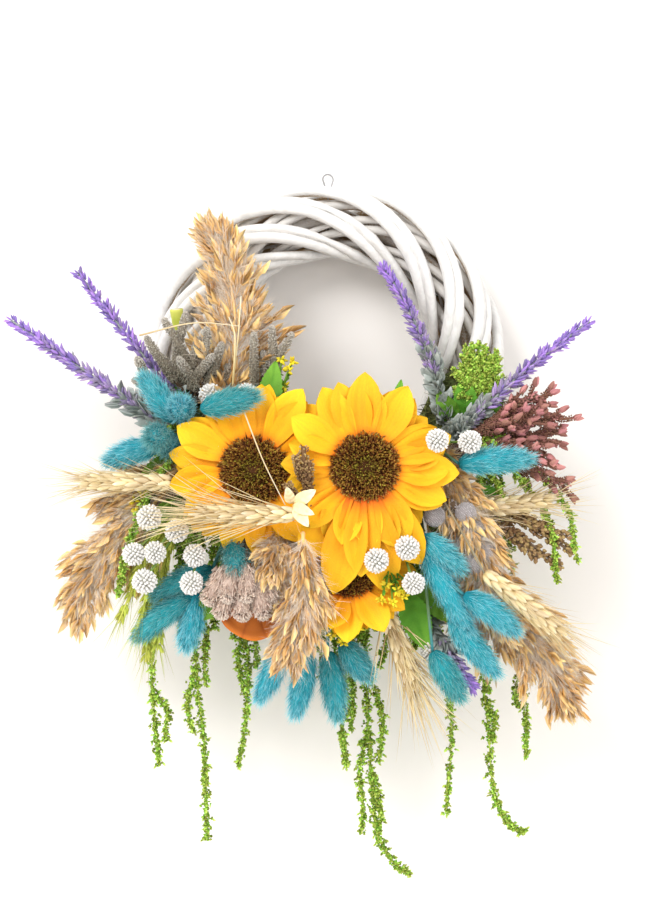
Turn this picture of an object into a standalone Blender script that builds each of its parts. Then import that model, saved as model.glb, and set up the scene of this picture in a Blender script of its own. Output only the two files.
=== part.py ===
"""Harvest door wreath: a white willow ring with dried and fabric flowers on its lower half.

Metres, +Z up. The nail that carries the wreath bears at the origin, the door or wall
is behind (+Y), and the flowers face the viewer (-Y).
"""
import math

import bmesh
import bpy
from mathutils import Matrix, Vector

# Willow ring
RING_RADIUS = 0.098        # centre of the woven tube, from the middle of the wreath
ROD_RADIUS = 0.0043        # outer rods
SLAT_RADIUS = 0.0034       # inner rods, wound the other way
CORE_RADIUS = 0.0058       # hoop that both layers are wound on
WIRE_RADIUS = 0.0006       # hanging wire, which turns round the hoop under the rods
WIRE_PLAY = 0.0005         # room left round the wire there
LAYER_GAP = 0.0011         # slack between the layers of rods
TUBE_OVAL = 0.003          # half the tube is this much more across the face than deep
TUBE_DEPTH = CORE_RADIUS + WIRE_PLAY + 2 * (WIRE_RADIUS + SLAT_RADIUS + ROD_RADIUS) + LAYER_GAP
TUBE_WIDTH = TUBE_DEPTH + TUBE_OVAL
ROD_COUNT = 6
SLAT_COUNT = 4
ROD_TURNS = 2              # times an outer rod goes round the tube in one lap
SLAT_TURNS = -2
ROD_END_GAP = 0.006        # between the two tucked ends of a rod

# Eye of the hanging wire
LOOP_RISE = 0.0062         # the wire's top above the ring
LOOP_HALF_WIDTH = 0.0037

# Moss pad on the front of the ring, which the stems are glued to
PAD_INWARD = 0.024         # from the tube's centre towards the opening
PAD_OUTWARD = 0.0265
PAD_THICKNESS = 0.008
FOOT_SPREAD = 0.098        # a stem's reach of 1.1 is a tenth of this outside the tube's centre
PAD_FROM = 190             # degrees round the ring, anticlockwise from +X
PAD_TO = 350

# Flowers
PETAL_TIP = 0.050
PETAL_VALLEY = 0.036
PETAL_THICKNESS = 0.002
DISC_RADIUS = 0.0225
DISC_HEIGHT = 0.007
CALYX_RADIUS = 0.012
STEM_RADIUS = 0.0013
TAIL_RADIUS = 0.0095
BUTTON_RADIUS = 0.0080
SILVER_BALL_RADIUS = 0.0074
FINGER_RADIUS = 0.0030
SEED_HEAD_RADIUS = 0.0072
EAR_RADIUS = 0.0058
SPIKE_RADIUS = 0.0060
TASSEL_RADIUS = 0.0045
ORANGE_RADIUS = 0.026
ORANGE_THICKNESS = 0.003

GAP = 0.0003               # between pieces that touch
MM = 0.001

PAD_INNER = RING_RADIUS - PAD_INWARD
PAD_OUTER = RING_RADIUS + PAD_OUTWARD
RING_TOP = -LOOP_RISE + WIRE_RADIUS
RING_CENTRE = Vector((0, 0, RING_TOP - TUBE_WIDTH - RING_RADIUS))
PAD_FACE = -(TUBE_DEPTH + GAP + PAD_THICKNESS)


def fresh_collection(name):
    collection = bpy.data.collections.new(name)
    bpy.context.scene.collection.children.link(collection)
    return collection


for old in list(bpy.data.objects):
    bpy.data.objects.remove(old, do_unlink=True)
WREATH = fresh_collection("harvest_door_wreath")
GUIDES = fresh_collection("guides")


def material(name, colour, roughness, metallic=0.0):
    found = bpy.data.materials.get(name)
    if found:
        return found
    made = bpy.data.materials.new(name)
    made.use_nodes = True
    shader = made.node_tree.nodes["Principled BSDF"]
    shader.inputs["Base Color"].default_value = (*colour, 1)
    shader.inputs["Roughness"].default_value = roughness
    shader.inputs["Metallic"].default_value = metallic
    made.diffuse_color = (*colour, 1)
    return made


def add_object(name, mesh, finish, collection=WREATH):
    obj = bpy.data.objects.new(name, mesh)
    collection.objects.link(obj)
    mesh.materials.clear()
    mesh.materials.append(material(*finish))
    return obj


def closed_mesh(obj):
    """The evaluated mesh of a curve object, with its caps welded on."""
    bpy.context.view_layer.update()
    mesh = bpy.data.meshes.new_from_object(obj.evaluated_get(bpy.context.evaluated_depsgraph_get()))
    mesh.transform(obj.matrix_world)
    bm = bmesh.new()
    bm.from_mesh(mesh)
    bmesh.ops.remove_doubles(bm, verts=bm.verts, dist=0.000001)
    bmesh.ops.recalc_face_normals(bm, faces=bm.faces)
    bm.to_mesh(mesh)
    bm.free()
    bpy.data.objects.remove(obj, do_unlink=True)
    return mesh


def tube_mesh(points, radii, sides=6, closed=False, squash=1.0):
    """A round bar through the points, with a radius at each one, flattened in depth by squash."""
    middle = sum(p.y for p in points) / len(points)
    curve = bpy.data.curves.new("bar", "CURVE")
    curve.dimensions = "3D"
    curve.bevel_depth = 1.0
    curve.bevel_resolution = max(0, (sides - 4) // 2)
    curve.use_fill_caps = not closed
    spline = curve.splines.new("POLY")
    spline.points.add(len(points) - 1)
    for knot, point, radius in zip(spline.points, points, radii):
        knot.co = (point.x, (point.y - middle) / squash, point.z, 1)
        knot.radius = radius
    spline.use_cyclic_u = closed
    obj = bpy.data.objects.new("bar", curve)
    bpy.context.scene.collection.objects.link(obj)
    obj.location.y = middle
    obj.scale.y = squash
    return closed_mesh(obj)


def fuse(name, meshes, finish):
    """One solid from meshes that run into each other."""
    body = add_object(name, meshes[0], finish)
    for number, mesh in enumerate(meshes[1:]):
        guide = add_object(f"{name}_guide_{number}", mesh, finish, GUIDES)
        guide.hide_render = True
        guide.display_type = "WIRE"
        join = body.modifiers.new(f"join_{number}", "BOOLEAN")
        join.operation = "UNION"
        join.use_self = True
        join.object = guide
    return body


# ---------------------------------------------------------------- willow ring

def ring_point(angle, across, depth):
    """A point of the tube's cross-section at an angle (degrees) round the ring."""
    turn = math.radians(angle)
    reach = RING_RADIUS + across
    return RING_CENTRE + Vector((reach * math.cos(turn), depth, reach * math.sin(turn)))


def wound_rod(name, width, depth, radius, turns, phase, start, finish, steps=36):
    """One willow rod, one lap round the ring, wound round the hoop as it goes."""
    gap = math.degrees(ROD_END_GAP / RING_RADIUS)
    points = []
    for step in range(steps + 1):
        angle = start + (360 - gap) * step / steps
        wind = math.radians(turns * angle + phase)
        points.append(ring_point(angle, width * math.cos(wind), depth * math.sin(wind)))
    mesh = tube_mesh(points, [radius] * len(points))
    return add_object(name, mesh, finish)


def willow_ring():
    white = ("white_willow", (0.86, 0.85, 0.83), 0.6)
    core = [ring_point(360 * step / 30, 0, 0) for step in range(30)]
    add_object("core_hoop", tube_mesh(core, [CORE_RADIUS] * 30, closed=True), white)

    rod_width = TUBE_WIDTH - ROD_RADIUS
    rod_depth = TUBE_DEPTH - ROD_RADIUS
    for rod in range(ROD_COUNT):
        phase = 360 * (rod + 0.5) / ROD_COUNT - 90 * ROD_TURNS
        wound_rod(f"willow_rod_{rod + 1}", rod_width, rod_depth, ROD_RADIUS, ROD_TURNS, phase,
                  250 + 8 * rod, white)

    inset = ROD_RADIUS + SLAT_RADIUS + LAYER_GAP
    for slat in range(SLAT_COUNT):
        phase = 360 * (slat + 0.5) / SLAT_COUNT - 90 * SLAT_TURNS
        wound_rod(f"willow_slat_{slat + 1}", rod_width - inset, rod_depth - inset, SLAT_RADIUS,
                  SLAT_TURNS, phase, 240 + 15 * slat, white)


def hanging_loop():
    """Bent wire: an eye above the ring, two legs down through the weave, a turn round the hoop."""
    top = ring_point(90, 0, 0)
    hug = CORE_RADIUS + GAP + 2 * WIRE_RADIUS
    leg = 0.0016
    climb = math.asin(leg / hug)
    shape = []
    for step in range(13):
        turn = climb + (2 * math.pi - 2 * climb) * step / 12
        shape.append((0.0, hug * math.sin(turn), hug * math.cos(turn)))
    shape.append((0.0, -leg, TUBE_WIDTH - 0.010))
    eye_height = LOOP_RISE + TUBE_WIDTH - WIRE_RADIUS
    for step in range(9):
        turn = math.pi * step / 8
        rise = eye_height - LOOP_HALF_WIDTH + LOOP_HALF_WIDTH * math.sin(turn)
        shape.append((-LOOP_HALF_WIDTH * math.cos(turn), -leg * math.cos(turn), rise))
    shape.append((0.0, leg, TUBE_WIDTH - 0.010))
    points = [top + Vector(place) for place in shape]
    mesh = tube_mesh(points, [WIRE_RADIUS] * len(points), closed=True)
    mesh.transform(Matrix.Translation(-top))
    loop = add_object("hanging_loop", mesh, ("wire", (0.45, 0.45, 0.46), 0.35, 1.0))
    loop.location = top


def moss_pad():
    """A crescent of moss-covered foam, flat on its face, wired over the lower half of the ring."""
    middle = (PAD_INNER + PAD_OUTER) / 2
    end = (PAD_OUTER - PAD_INNER) / 2
    outline = []
    for step in range(29):
        angle = math.radians(PAD_FROM + (PAD_TO - PAD_FROM) * step / 28)
        outline.append((PAD_OUTER * math.cos(angle), PAD_OUTER * math.sin(angle)))
    last = math.radians(PAD_TO)
    for step in range(1, 5):
        turn = last + math.pi * step / 5
        outline.append((middle * math.cos(last) + end * math.cos(turn),
                        middle * math.sin(last) + end * math.sin(turn)))
    for step in range(29):
        angle = math.radians(PAD_TO - (PAD_TO - PAD_FROM) * step / 28)
        outline.append((PAD_INNER * math.cos(angle), PAD_INNER * math.sin(angle)))
    first = math.radians(PAD_FROM)
    for step in range(1, 5):
        turn = first + math.pi + math.pi * step / 5
        outline.append((middle * math.cos(first) + end * math.cos(turn),
                        middle * math.sin(first) + end * math.sin(turn)))
    mesh = plate_mesh(outline, PAD_THICKNESS)
    place = Matrix.Translation(RING_CENTRE + Vector((0, PAD_FACE + PAD_THICKNESS / 2, 0)))
    mesh.transform(place)
    add_object("moss_pad", mesh, ("moss", (0.16, 0.22, 0.08), 0.95))


def plate_mesh(outline, thickness):
    """A flat plate in the XZ plane from a closed outline."""
    curve = bpy.data.curves.new("plate", "CURVE")
    curve.dimensions = "2D"
    curve.fill_mode = "BOTH"
    curve.extrude = thickness / 2
    spline = curve.splines.new("POLY")
    spline.points.add(len(outline) - 1)
    for knot, (across, up) in zip(spline.points, outline):
        knot.co = (across, up, 0, 1)
    spline.use_cyclic_u = True
    obj = bpy.data.objects.new("plate", curve)
    bpy.context.scene.collection.objects.link(obj)
    obj.rotation_euler.x = math.pi / 2
    return closed_mesh(obj)


# ---------------------------------------------------------------- stems and what they carry

def foot(angle, reach):
    """Where a stem meets the pad: an angle round the ring and a reach across it."""
    turn = math.radians(angle)
    side = RING_RADIUS + (reach - 1) * FOOT_SPREAD
    return RING_CENTRE + Vector((side * math.cos(turn), PAD_FACE - GAP, side * math.sin(turn)))


def path_from(base, steps):
    """Points from steps in millimetres: across, up and lift off the pad, from a stem's foot."""
    return [base + Vector((across * MM, -lift * MM, up * MM)) for across, up, lift in steps]


def stemmed(base, route, head, radius, profile, stem=STEM_RADIUS, sides=6, squash=1.0):
    """A stem along the route, then a head from the route's end to the head point.

    The profile gives the head's radius as shares of its full radius, from base to tip.
    """
    points = path_from(base, [(0, 0, 0), *route])
    radii = [stem] * len(points)
    root = points[-1]
    tip = path_from(base, [head])[0]
    for number, share in enumerate(profile):
        points.append(root.lerp(tip, (number + 0.35) / (len(profile) - 0.65)))
        radii.append(radius * share)
    return tube_mesh(points, radii, sides, squash=squash)


SPINDLE = (0.75, 1.0, 0.9, 0.25)
BALL = (0.72, 1.0, 0.72, 0.2)
BUD = (0.7, 1.0, 0.8)


def bunch(name, base, binding, members, radius, profile, finish, sides=6):
    """Stems that leave one bound stalk, each with its own head.

    A member is (route, head): millimetres from the foot, as in stemmed().
    """
    stalk = tube_mesh(path_from(base, [(0, 0, 0), (0, 0, binding)]), [2 * STEM_RADIUS] * 2)
    meshes = [stalk]
    for number, (route, head) in enumerate(members):
        inside = (0, 0, binding * (0.3 + 0.55 * number / len(members)))
        points = path_from(base, [inside, *route])
        radii = [STEM_RADIUS] * len(points)
        root = points[-1]
        tip = path_from(base, [head])[0]
        for place, share in enumerate(profile):
            points.append(root.lerp(tip, (place + 0.35) / (len(profile) - 0.65)))
            radii.append(radius * share)
        meshes.append(tube_mesh(points, radii, sides))
    return fuse(name, meshes, finish)


# ---------------------------------------------------------------- sunflowers

def sunflower(name, base, route, tilt, turn, size=1.0, petals=15):
    """A fabric sunflower: a ring of petals, a bristly disc and a cup with its stem."""
    centre = path_from(base, [route[-1]])[0]
    facing = Matrix.Translation(centre) @ Matrix.Rotation(turn, 4, "Z") @ Matrix.Rotation(tilt, 4, "X")

    outline = []
    for step in range(petals * 4):
        angle = 2 * math.pi * step / (petals * 4)
        share = (0, 0.75, 1, 0.75)[step % 4]
        reach = size * (PETAL_VALLEY + (PETAL_TIP - PETAL_VALLEY) * share)
        outline.append((reach * math.cos(angle), reach * math.sin(angle)))
    flower = plate_mesh(outline, PETAL_THICKNESS)
    flower.transform(facing)
    add_object(f"{name}_petals", flower, ("yellow_petal", (0.95, 0.62, 0.03), 0.7))

    seat = PETAL_THICKNESS / 2 + GAP
    profile = [(0, -DISC_HEIGHT), (0.55, -0.95 * DISC_HEIGHT), (0.9, -0.6 * DISC_HEIGHT),
               (1.0, -0.2 * DISC_HEIGHT), (0.95, 0)]
    rings = [(size * DISC_RADIUS * share, depth - seat) for share, depth in profile]
    add_object(f"{name}_disc", turned_mesh(rings, facing), ("brown_disc", (0.16, 0.06, 0.02), 0.9))

    cup_back = facing @ Vector((0, seat + 0.012, 0))
    cup_front = facing @ Vector((0, seat, 0))
    points = path_from(base, [(0, 0, 0), *route[:-1]]) + [cup_back, cup_back.lerp(cup_front, 0.6), cup_front]
    radii = [0.0024] * (len(points) - 3) + [0.004, CALYX_RADIUS, CALYX_RADIUS]
    add_object(f"{name}_stem", tube_mesh(points, radii, 8), ("green_stem", (0.16, 0.30, 0.07), 0.6))


def turned_mesh(rings, placing, steps=16):
    """A turned solid about Y from (radius, depth) rings, front to back, closed at both ends."""
    bm = bmesh.new()
    front = bm.verts.new((0, rings[0][1], 0))
    loops = []
    for radius, depth in rings[1:]:
        loop = []
        for step in range(steps):
            angle = 2 * math.pi * step / steps
            loop.append(bm.verts.new((radius * math.cos(angle), depth, radius * math.sin(angle))))
        loops.append(loop)
    for step in range(steps):
        following = (step + 1) % steps
        bm.faces.new((front, loops[0][step], loops[0][following]))
        for near, far in zip(loops, loops[1:]):
            bm.faces.new((near[step], far[step], far[following], near[following]))
    bm.faces.new(loops[-1])
    bmesh.ops.recalc_face_normals(bm, faces=bm.faces)
    mesh = bpy.data.meshes.new("turned")
    bm.to_mesh(mesh)
    bm.free()
    mesh.transform(placing)
    return mesh


def sunflowers():
    sunflower("sunflower_right", foot(288, 0.795), [(0, 0, 30), (0, 0, 60)], 0.0, 0.0)
    sunflower("sunflower_left", foot(237, 0.93), [(0, 0, 24), (0, 0, 50)], 0.0, math.radians(-5))
    sunflower("sunflower_low", foot(274, 1.145), [(0, 0, 22), (2, -12, 27), (5, -34, 42)],
              math.radians(14), 0.0, 0.8)


# ---------------------------------------------------------------- dried and fabric sprigs

def lavender():
    finish = ("lavender", (0.42, 0.35, 0.62), 0.85)
    leafy = (0.5, 1.0, 1.1, 0.8, 0.95, 0.85, 0.3)
    sprigs = {
        "lavender_left_low": (foot(205, 1.15), [(0, 0, 6), (-14, 4, 10)], (-114, 73, 10)),
        "lavender_left_high": (foot(192, 1.10), [(0, 0, 6), (-8, 8, 10)], (-65, 80, 12)),
        "lavender_right_low": (foot(330, 1.03), [(0, 0, 20), (7, 6, 24)], (89, 74, 24)),
    }
    for name, (base, route, head) in sprigs.items():
        add_object(name, stemmed(base, route, head, SPIKE_RADIUS, leafy), finish)
    base = foot(333, 0.92)
    points = path_from(base, [(0, 0, 0), (0, 0, 6), (-2, 10, 8), (-6, 24, 8), (-12, 44, 8),
                              (-20, 64, 8), (-30, 84, 8), (-43, 103, 8)])
    radii = [STEM_RADIUS, STEM_RADIUS, STEM_RADIUS, *[SPIKE_RADIUS * share for share in leafy[2:]]]
    add_object("lavender_right_high", tube_mesh(points, radii), finish)


def pampas():
    finish = ("pampas", (0.62, 0.44, 0.27), 0.95)
    top = path_from(foot(203, 0.78), [(0, 0, 0), (0, 0, 6), (2, 12, 11), (5, 30, 11), (7, 52, 11),
                                      (4, 78, 11), (0, 100, 11), (-5, 118, 11)])
    add_object("pampas_top", tube_mesh(top, [0.0014, 0.0014, 0.002, 0.015, 0.024, 0.018, 0.010, 0.003],
                                       8, squash=0.38), finish)
    left = path_from(foot(219, 1.00), [(0, 0, 0), (0, 0, 20), (-8, -10, 25), (-36, -32, 25),
                                       (-58, -54, 25), (-80, -80, 25), (-98, -116, 25)])
    add_object("pampas_left", tube_mesh(left, [0.0014, 0.0014, 0.002, 0.014, 0.018, 0.014, 0.003],
                                        8, squash=0.4), finish)
    right = path_from(foot(315, 1.04), [(0, 0, 0), (0, 0, 24), (6, -16, 28), (18, -58, 28), (34, -86, 28),
                                        (56, -108, 28), (80, -136, 28), (100, -168, 28)])
    add_object("pampas_right", tube_mesh(right, [0.0014, 0.0014, 0.002, 0.003, 0.015, 0.022, 0.017, 0.003],
                                         8, squash=0.35), finish)
    centre = path_from(foot(262, 1.215), [(0, 0, 0), (0, 0, 58), (0, -2, 69), (1, -26, 70),
                                          (1, -46, 70), (0, -62, 70), (-2, -78, 70)])
    add_object("pampas_centre", tube_mesh(centre, [0.0012, 0.0012, 0.002, 0.013, 0.015, 0.012, 0.003],
                                          8, squash=0.45), finish)


def wheat():
    finish = ("wheat", (0.82, 0.68, 0.42), 0.8)
    ear = (0.8, 1.0, 0.85, 0.2)
    ears = {
        "wheat_left_back": (foot(216, 1.08), [(0, 0, 36), (-10, -16, 41), (-18, -22, 42)], (-84, -22, 42)),
        "wheat_left_front": (foot(263.5, 1.16), [(0, 0, 66), (-2, 5, 73), (-8, 8, 74)], (-78, 8, 74)),
        "wheat_right": (foot(319, 1.14), [(0, 0, 27), (0, -20, 30), (2, -31, 30.5)], (72, -22, 30.5)),
        "wheat_right_low": (foot(308.4, 1.248), [(0, 0, 50), (15, -26, 56), (27, -48, 56)], (83, -92, 56)),
        "wheat_low": (foot(280, 1.235), [(0, 0, 24), (10, -30, 27), (18, -50, 28)], (42, -110, 34)),
    }
    for name, (base, route, head) in ears.items():
        add_object(name, stemmed(base, route, head, EAR_RADIUS, ear), finish)


def bunny_tails():
    finish = ("teal_tail", (0.05, 0.40, 0.50), 0.95)
    bunch("bunny_tails_left_top", foot(207, 1.03), 28, [
        ([(-12, 2, 34)], (-34, 32, 34)),
        ([(-6, 9, 32)], (-8, 13, 54)),
        ([(-20, -6, 38)], (-26, -10, 58)),
        ([(5, 8, 40), (6, 10, 58)], (42, 18, 64)),
        ([(-12, -10, 30)], (-17, -15, 42)),
        ([(-24, -14, 34)], (-58, -24, 34)),
    ], TAIL_RADIUS, SPINDLE, finish)
    bunch("bunny_tails_left_low", foot(233, 1.08), 28, [
        ([(-4, -30, 34), (-14, -58, 36)], (-52, -76, 36)),
        ([(-10, -50, 34), (-26, -76, 36)], (-64, -104, 36)),
        ([(-8, -56, 34), (-24, -74, 36)], (-32, -110, 36)),
        ([(0, -40, 32)], (2, -56, 46)),
    ], TAIL_RADIUS, SPINDLE, finish)
    bunch("bunny_tails_bottom", foot(268, 1.165), 22, [
        ([(-4, -40, 27), (-20, -74, 30)], (-42, -116, 32)),
        ([(-3, -46, 27), (-10, -82, 30)], (-18, -126, 34)),
        ([(2, -46, 27), (4, -84, 31)], (10, -128, 36)),
        ([(4, -44, 27), (13, -78, 31)], (31, -100, 38)),
    ], TAIL_RADIUS, SPINDLE, finish)
    bunch("bunny_tails_right", foot(302, 1.18), 34, [
        ([(0, -22, 52)], (26, -44, 54)),
        ([(2, -30, 52)], (32, -84, 56)),
        ([(6, -40, 52), (28, -60, 58)], (62, -84, 60)),
        ([(8, -56, 50), (20, -74, 50)], (50, -112, 52)),
        ([(4, -60, 50), (8, -98, 50)], (26, -128, 50)),
    ], TAIL_RADIUS, SPINDLE, finish)
    under_buttons = 63.5 - TAIL_RADIUS / MM
    bunch("bunny_tail_right_top", foot(320.5, 0.93), 44, [
        ([(8, -8, 50), (16, -14, under_buttons)], (63, -11, under_buttons)),
    ], TAIL_RADIUS, SPINDLE, finish)


def button_flowers():
    finish = ("white_button", (0.90, 0.90, 0.88), 0.8)

    def heads(places):
        return [([(x * 0.7, z * 0.7, lift - 12), (x, z, lift - 7)], (x, z, lift + 7)) for x, z, lift in places]

    bunch("button_flowers_left_top", foot(210, 0.87), 16,
          heads([(-6, 17, 25), (19, 17, 27), (-7, -9, 25)]), BUTTON_RADIUS, BALL, finish)
    bunch("button_flowers_left", foot(225, 1.10), 34,
          heads([(-42, -31, 56), (-24, -40, 56), (-12, -56, 57), (-52, -55, 56), (-38, -54, 58),
                 (-45, -73, 56), (-14, -74, 58)]), BUTTON_RADIUS, BALL, finish)
    bunch("button_flowers_right_top", foot(324, 1.00), 40,
          heads([(-8, 1, 72), (14, 0, 60)]), BUTTON_RADIUS, BALL, finish)
    base = foot(292, 1.19)
    bunch("button_flowers_right_low", base, 20, [
        ([(4, -10, 24), (8, -19, 40), (8, -19, 58)], (8, -19, 72)),
        ([(4, -10, 24), (8, -20, 40), (-2, -24, 62)], (-12, -27, 74)),
        ([(4, -10, 24), (8, -20, 40), (10, -34, 60)], (12, -42, 72)),
        ([(7, -26, 22), (18, -60, 26), (25, -78, 30)], (26, -90, 38)),
    ], BUTTON_RADIUS, BALL, finish)


def brunia():
    grey = ("grey_brunia", (0.34, 0.28, 0.24), 0.9)
    finger = (1.0, 1.0, 0.9, 0.5)
    bunch("brunia_fingers_left", foot(198, 0.99), 22, [
        ([(-8, 14, 27)], (-30, 38, 27)),
        ([(-4, 16, 27)], (-18, 50, 28)),
        ([(-2, 16, 27)], (-4, 54, 28)),
        ([(2, 14, 27)], (10, 48, 27)),
        ([(4, 10, 27)], (20, 36, 28)),
        ([(-8, 8, 28)], (-36, 26, 30)),
    ], FINGER_RADIUS, finger, grey)
    bunch("brunia_fingers_right", foot(229, 0.78), 24, [
        ([(2, 12, 27), (6, 34, 28)], (0, 72, 28)),
        ([(5, 14, 27), (11, 36, 28)], (12, 76, 28)),
        ([(8, 10, 27), (16, 34, 28)], (25, 72, 28)),
    ], FINGER_RADIUS, finger, grey)
    silver = ("silver_brunia", (0.50, 0.46, 0.46), 0.85)
    bunch("brunia_silver", foot(306, 1.12), 26, [
        ([(2, -8, 34)], (6, -18, 46)),
        ([(10, -10, 34), (20, -14, 36)], (27, -16, 44)),
        ([(12, -16, 32), (24, -24, 33)], (33, -28, 42)),
        ([(12, -22, 34), (30, -36, 35)], (41, -42, 40)),
        ([(8, -18, 32), (14, -28, 33)], (21, -36, 38)),
        ([(10, -26, 33), (24, -42, 36)], (32, -50, 42)),
    ], SILVER_BALL_RADIUS, BALL, silver)
    red = ("red_brunia", (0.36, 0.16, 0.14), 0.85)
    bunch("brunia_red", foot(319, 1.03), 24, [
        ([(10, 2, 30)], (62, 36, 32)),
        ([(12, 0, 30)], (78, 24, 32)),
        ([(12, -2, 30)], (74, 8, 33)),
        ([(12, -6, 30)], (84, -20, 33)),
    ], FINGER_RADIUS, finger, red)
    brown = ("brown_catkin", (0.25, 0.14, 0.06), 0.85)
    bunch("catkins", foot(311, 1.08), 20, [
        ([(3, -2, 22), (18, -21, 22.5), (40, -42, 22.5)], (96, -52, 24)),
        ([(4, -4, 22), (17, -23, 22.5), (38, -46, 22.5)], (86, -62, 24)),
        ([(5, -1, 22), (19, -19, 22.5), (38, -34, 22.5)], (76, -38, 24)),
    ], 0.0018, finger, brown)


def seed_heads_and_orange():
    base = foot(244, 1.06)
    bunch("dried_seed_heads", base, 34, [
        ([(-2, -38, 37), (-3, -40, 54), (-20, -54, 60)], (-31, -72, 62)),
        ([(-1, -38, 38), (-1, -40, 56), (-14, -52, 61)], (-20, -72, 63)),
        ([(0, -38, 39), (0, -40, 57), (-8, -54, 61)], (-9, -76, 64)),
        ([(1, -38, 38), (1, -40, 56), (0, -52, 61)], (3, -72, 63)),
        ([(2, -38, 37), (3, -40, 54), (6, -56, 60)], (12, -78, 62)),
    ], SEED_HEAD_RADIUS, (0.6, 0.9, 1.0), ("seed_head", (0.62, 0.47, 0.40), 0.9))

    base = foot(249, 1.12)
    wire = tube_mesh(path_from(base, [(0, 0, 0), (0, 0, 30), (4, -34, 40), (0, -50, 50)]),
                     [0.0008] * 4)
    slice_mesh = plate_mesh([(ORANGE_RADIUS * math.cos(math.tau * step / 28),
                              ORANGE_RADIUS * math.sin(math.tau * step / 28)) for step in range(28)],
                            ORANGE_THICKNESS)
    centre = path_from(base, [(-10, -60, 50)])[0]
    slice_mesh.transform(Matrix.Translation(centre) @ Matrix.Rotation(math.radians(4), 4, "X"))
    fuse("orange_slice", [slice_mesh, wire], ("dried_orange", (0.72, 0.27, 0.10), 0.7))


def green_tuft():
    bm = bmesh.new()
    bmesh.ops.create_icosphere(bm, subdivisions=2, radius=1.0)
    mesh = bpy.data.meshes.new("tuft")
    bm.to_mesh(mesh)
    bm.free()
    half = Vector((0.019, 0.0085, 0.027))
    centre = foot(352, 1.05) - Vector((0, half.y, 0))
    mesh.transform(Matrix.Translation(centre) @ Matrix.Diagonal((*half, 1)))
    add_object("green_tuft", mesh, ("amaranth", (0.24, 0.42, 0.08), 0.9))


# ---------------------------------------------------------------- hanging amaranth

def tassel(name, base, lift, drop):
    """A strand that hangs from its glued foot and sways about it."""
    steps = [(0, 0, 0), (0, 0, lift * 0.7), (drop[0][0] * 0.2, drop[0][1] * 0.2, lift)]
    steps += [(across, up, lift) for across, up in drop]
    points = path_from(base, steps)
    count = len(points)
    radii = [0.0011, 0.0011, 0.0015]
    for number in range(3, count):
        share = (number - 3) / (count - 4)
        radii.append(TASSEL_RADIUS * (1 - 0.45 * share ** 2) if number < count - 1 else 0.0012)
    mesh = tube_mesh(points, radii)
    mesh.transform(Matrix.Translation(-base))
    strand = add_object(name, mesh, ("amaranth", (0.24, 0.42, 0.08), 0.9))
    strand.location = base


def tassels():
    near = 5.6
    far = 15.6
    tassel("amaranth_left_1", foot(212, 1.20), near,
           [(-4, -30), (-12, -64), (-18, -104), (-21, -150), (-19, -186), (-16, -216)])
    tassel("amaranth_left_2", foot(226, 1.20), far,
           [(-3, -32), (-9, -80), (-8, -130), (-3, -176), (-2, -212), (-1, -242)])
    tassel("amaranth_left_3", foot(241, 1.20), near,
           [(-2, -30), (-1, -70), (2, -110), (0, -146), (-4, -176)])
    tassel("amaranth_centre_1", foot(273, 1.225), far,
           [(-1, -34), (-2, -76), (2, -112), (4, -140), (6, -158)])
    tassel("amaranth_centre_2", foot(284, 1.225), near,
           [(-1, -36), (-3, -84), (-2, -130), (1, -172), (4, -206), (16, -228), (28, -236)])
    tassel("amaranth_right_1", foot(297, 1.225), near,
           [(6, -32), (16, -70), (26, -112), (30, -150), (26, -204)])
    tassel("amaranth_right_2", foot(313, 1.225), far,
           [(6, -32), (15, -76), (22, -120), (27, -164), (31, -208), (42, -228), (52, -234)])
    tassel("amaranth_right_3", foot(334, 1.225), near,
           [(7, -34), (16, -80), (23, -130), (27, -180), (28, -220)])


willow_ring()
hanging_loop()
moss_pad()
sunflowers()
lavender()
pampas()
wheat()
bunny_tails()
button_flowers()
brunia()
seed_heads_and_orange()
green_tuft()
tassels()
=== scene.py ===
"""Harvest door wreath: a white willow ring dressed with dried and fabric flowers."""
import math

import bpy
import numpy as np
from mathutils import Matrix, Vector


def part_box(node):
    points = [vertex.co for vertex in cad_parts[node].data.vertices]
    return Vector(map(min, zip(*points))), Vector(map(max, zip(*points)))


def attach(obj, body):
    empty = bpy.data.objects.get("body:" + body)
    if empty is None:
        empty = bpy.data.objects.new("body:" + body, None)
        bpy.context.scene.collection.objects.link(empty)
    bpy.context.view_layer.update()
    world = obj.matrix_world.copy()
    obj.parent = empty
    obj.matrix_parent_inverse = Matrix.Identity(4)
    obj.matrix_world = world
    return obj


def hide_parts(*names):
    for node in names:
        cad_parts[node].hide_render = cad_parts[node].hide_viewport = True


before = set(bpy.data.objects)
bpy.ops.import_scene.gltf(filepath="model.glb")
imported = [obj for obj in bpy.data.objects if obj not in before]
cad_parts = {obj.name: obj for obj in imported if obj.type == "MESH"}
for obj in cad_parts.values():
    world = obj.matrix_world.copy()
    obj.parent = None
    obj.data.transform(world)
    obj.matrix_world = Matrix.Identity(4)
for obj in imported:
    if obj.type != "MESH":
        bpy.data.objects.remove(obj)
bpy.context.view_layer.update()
SCENE = bpy.context.scene


# ---------------------------------------------------------------- room, camera and light
# The wreath hangs on a white wall in a bright room. The camera faces it square on, and
# one large soft light high on the left does most of the work.

camera = bpy.data.objects.new("camera", bpy.data.cameras.new("camera"))
SCENE.collection.objects.link(camera)
SCENE.camera = camera
camera.location = (-0.00385, -1.40, -0.1940)
camera.rotation_euler = (math.pi / 2, 0, 0)
camera.data.sensor_width = 36
camera.data.lens = 79.7
camera.data.clip_start = 0.01
SCENE.view_settings.view_transform = "Standard"
SCENE.view_settings.look = "None"


def new_finish(name):
    """A material, its node tree and its shader."""
    finish = bpy.data.materials.new(name)
    finish.use_nodes = True
    return finish, finish.node_tree, finish.node_tree.nodes["Principled BSDF"]


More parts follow.
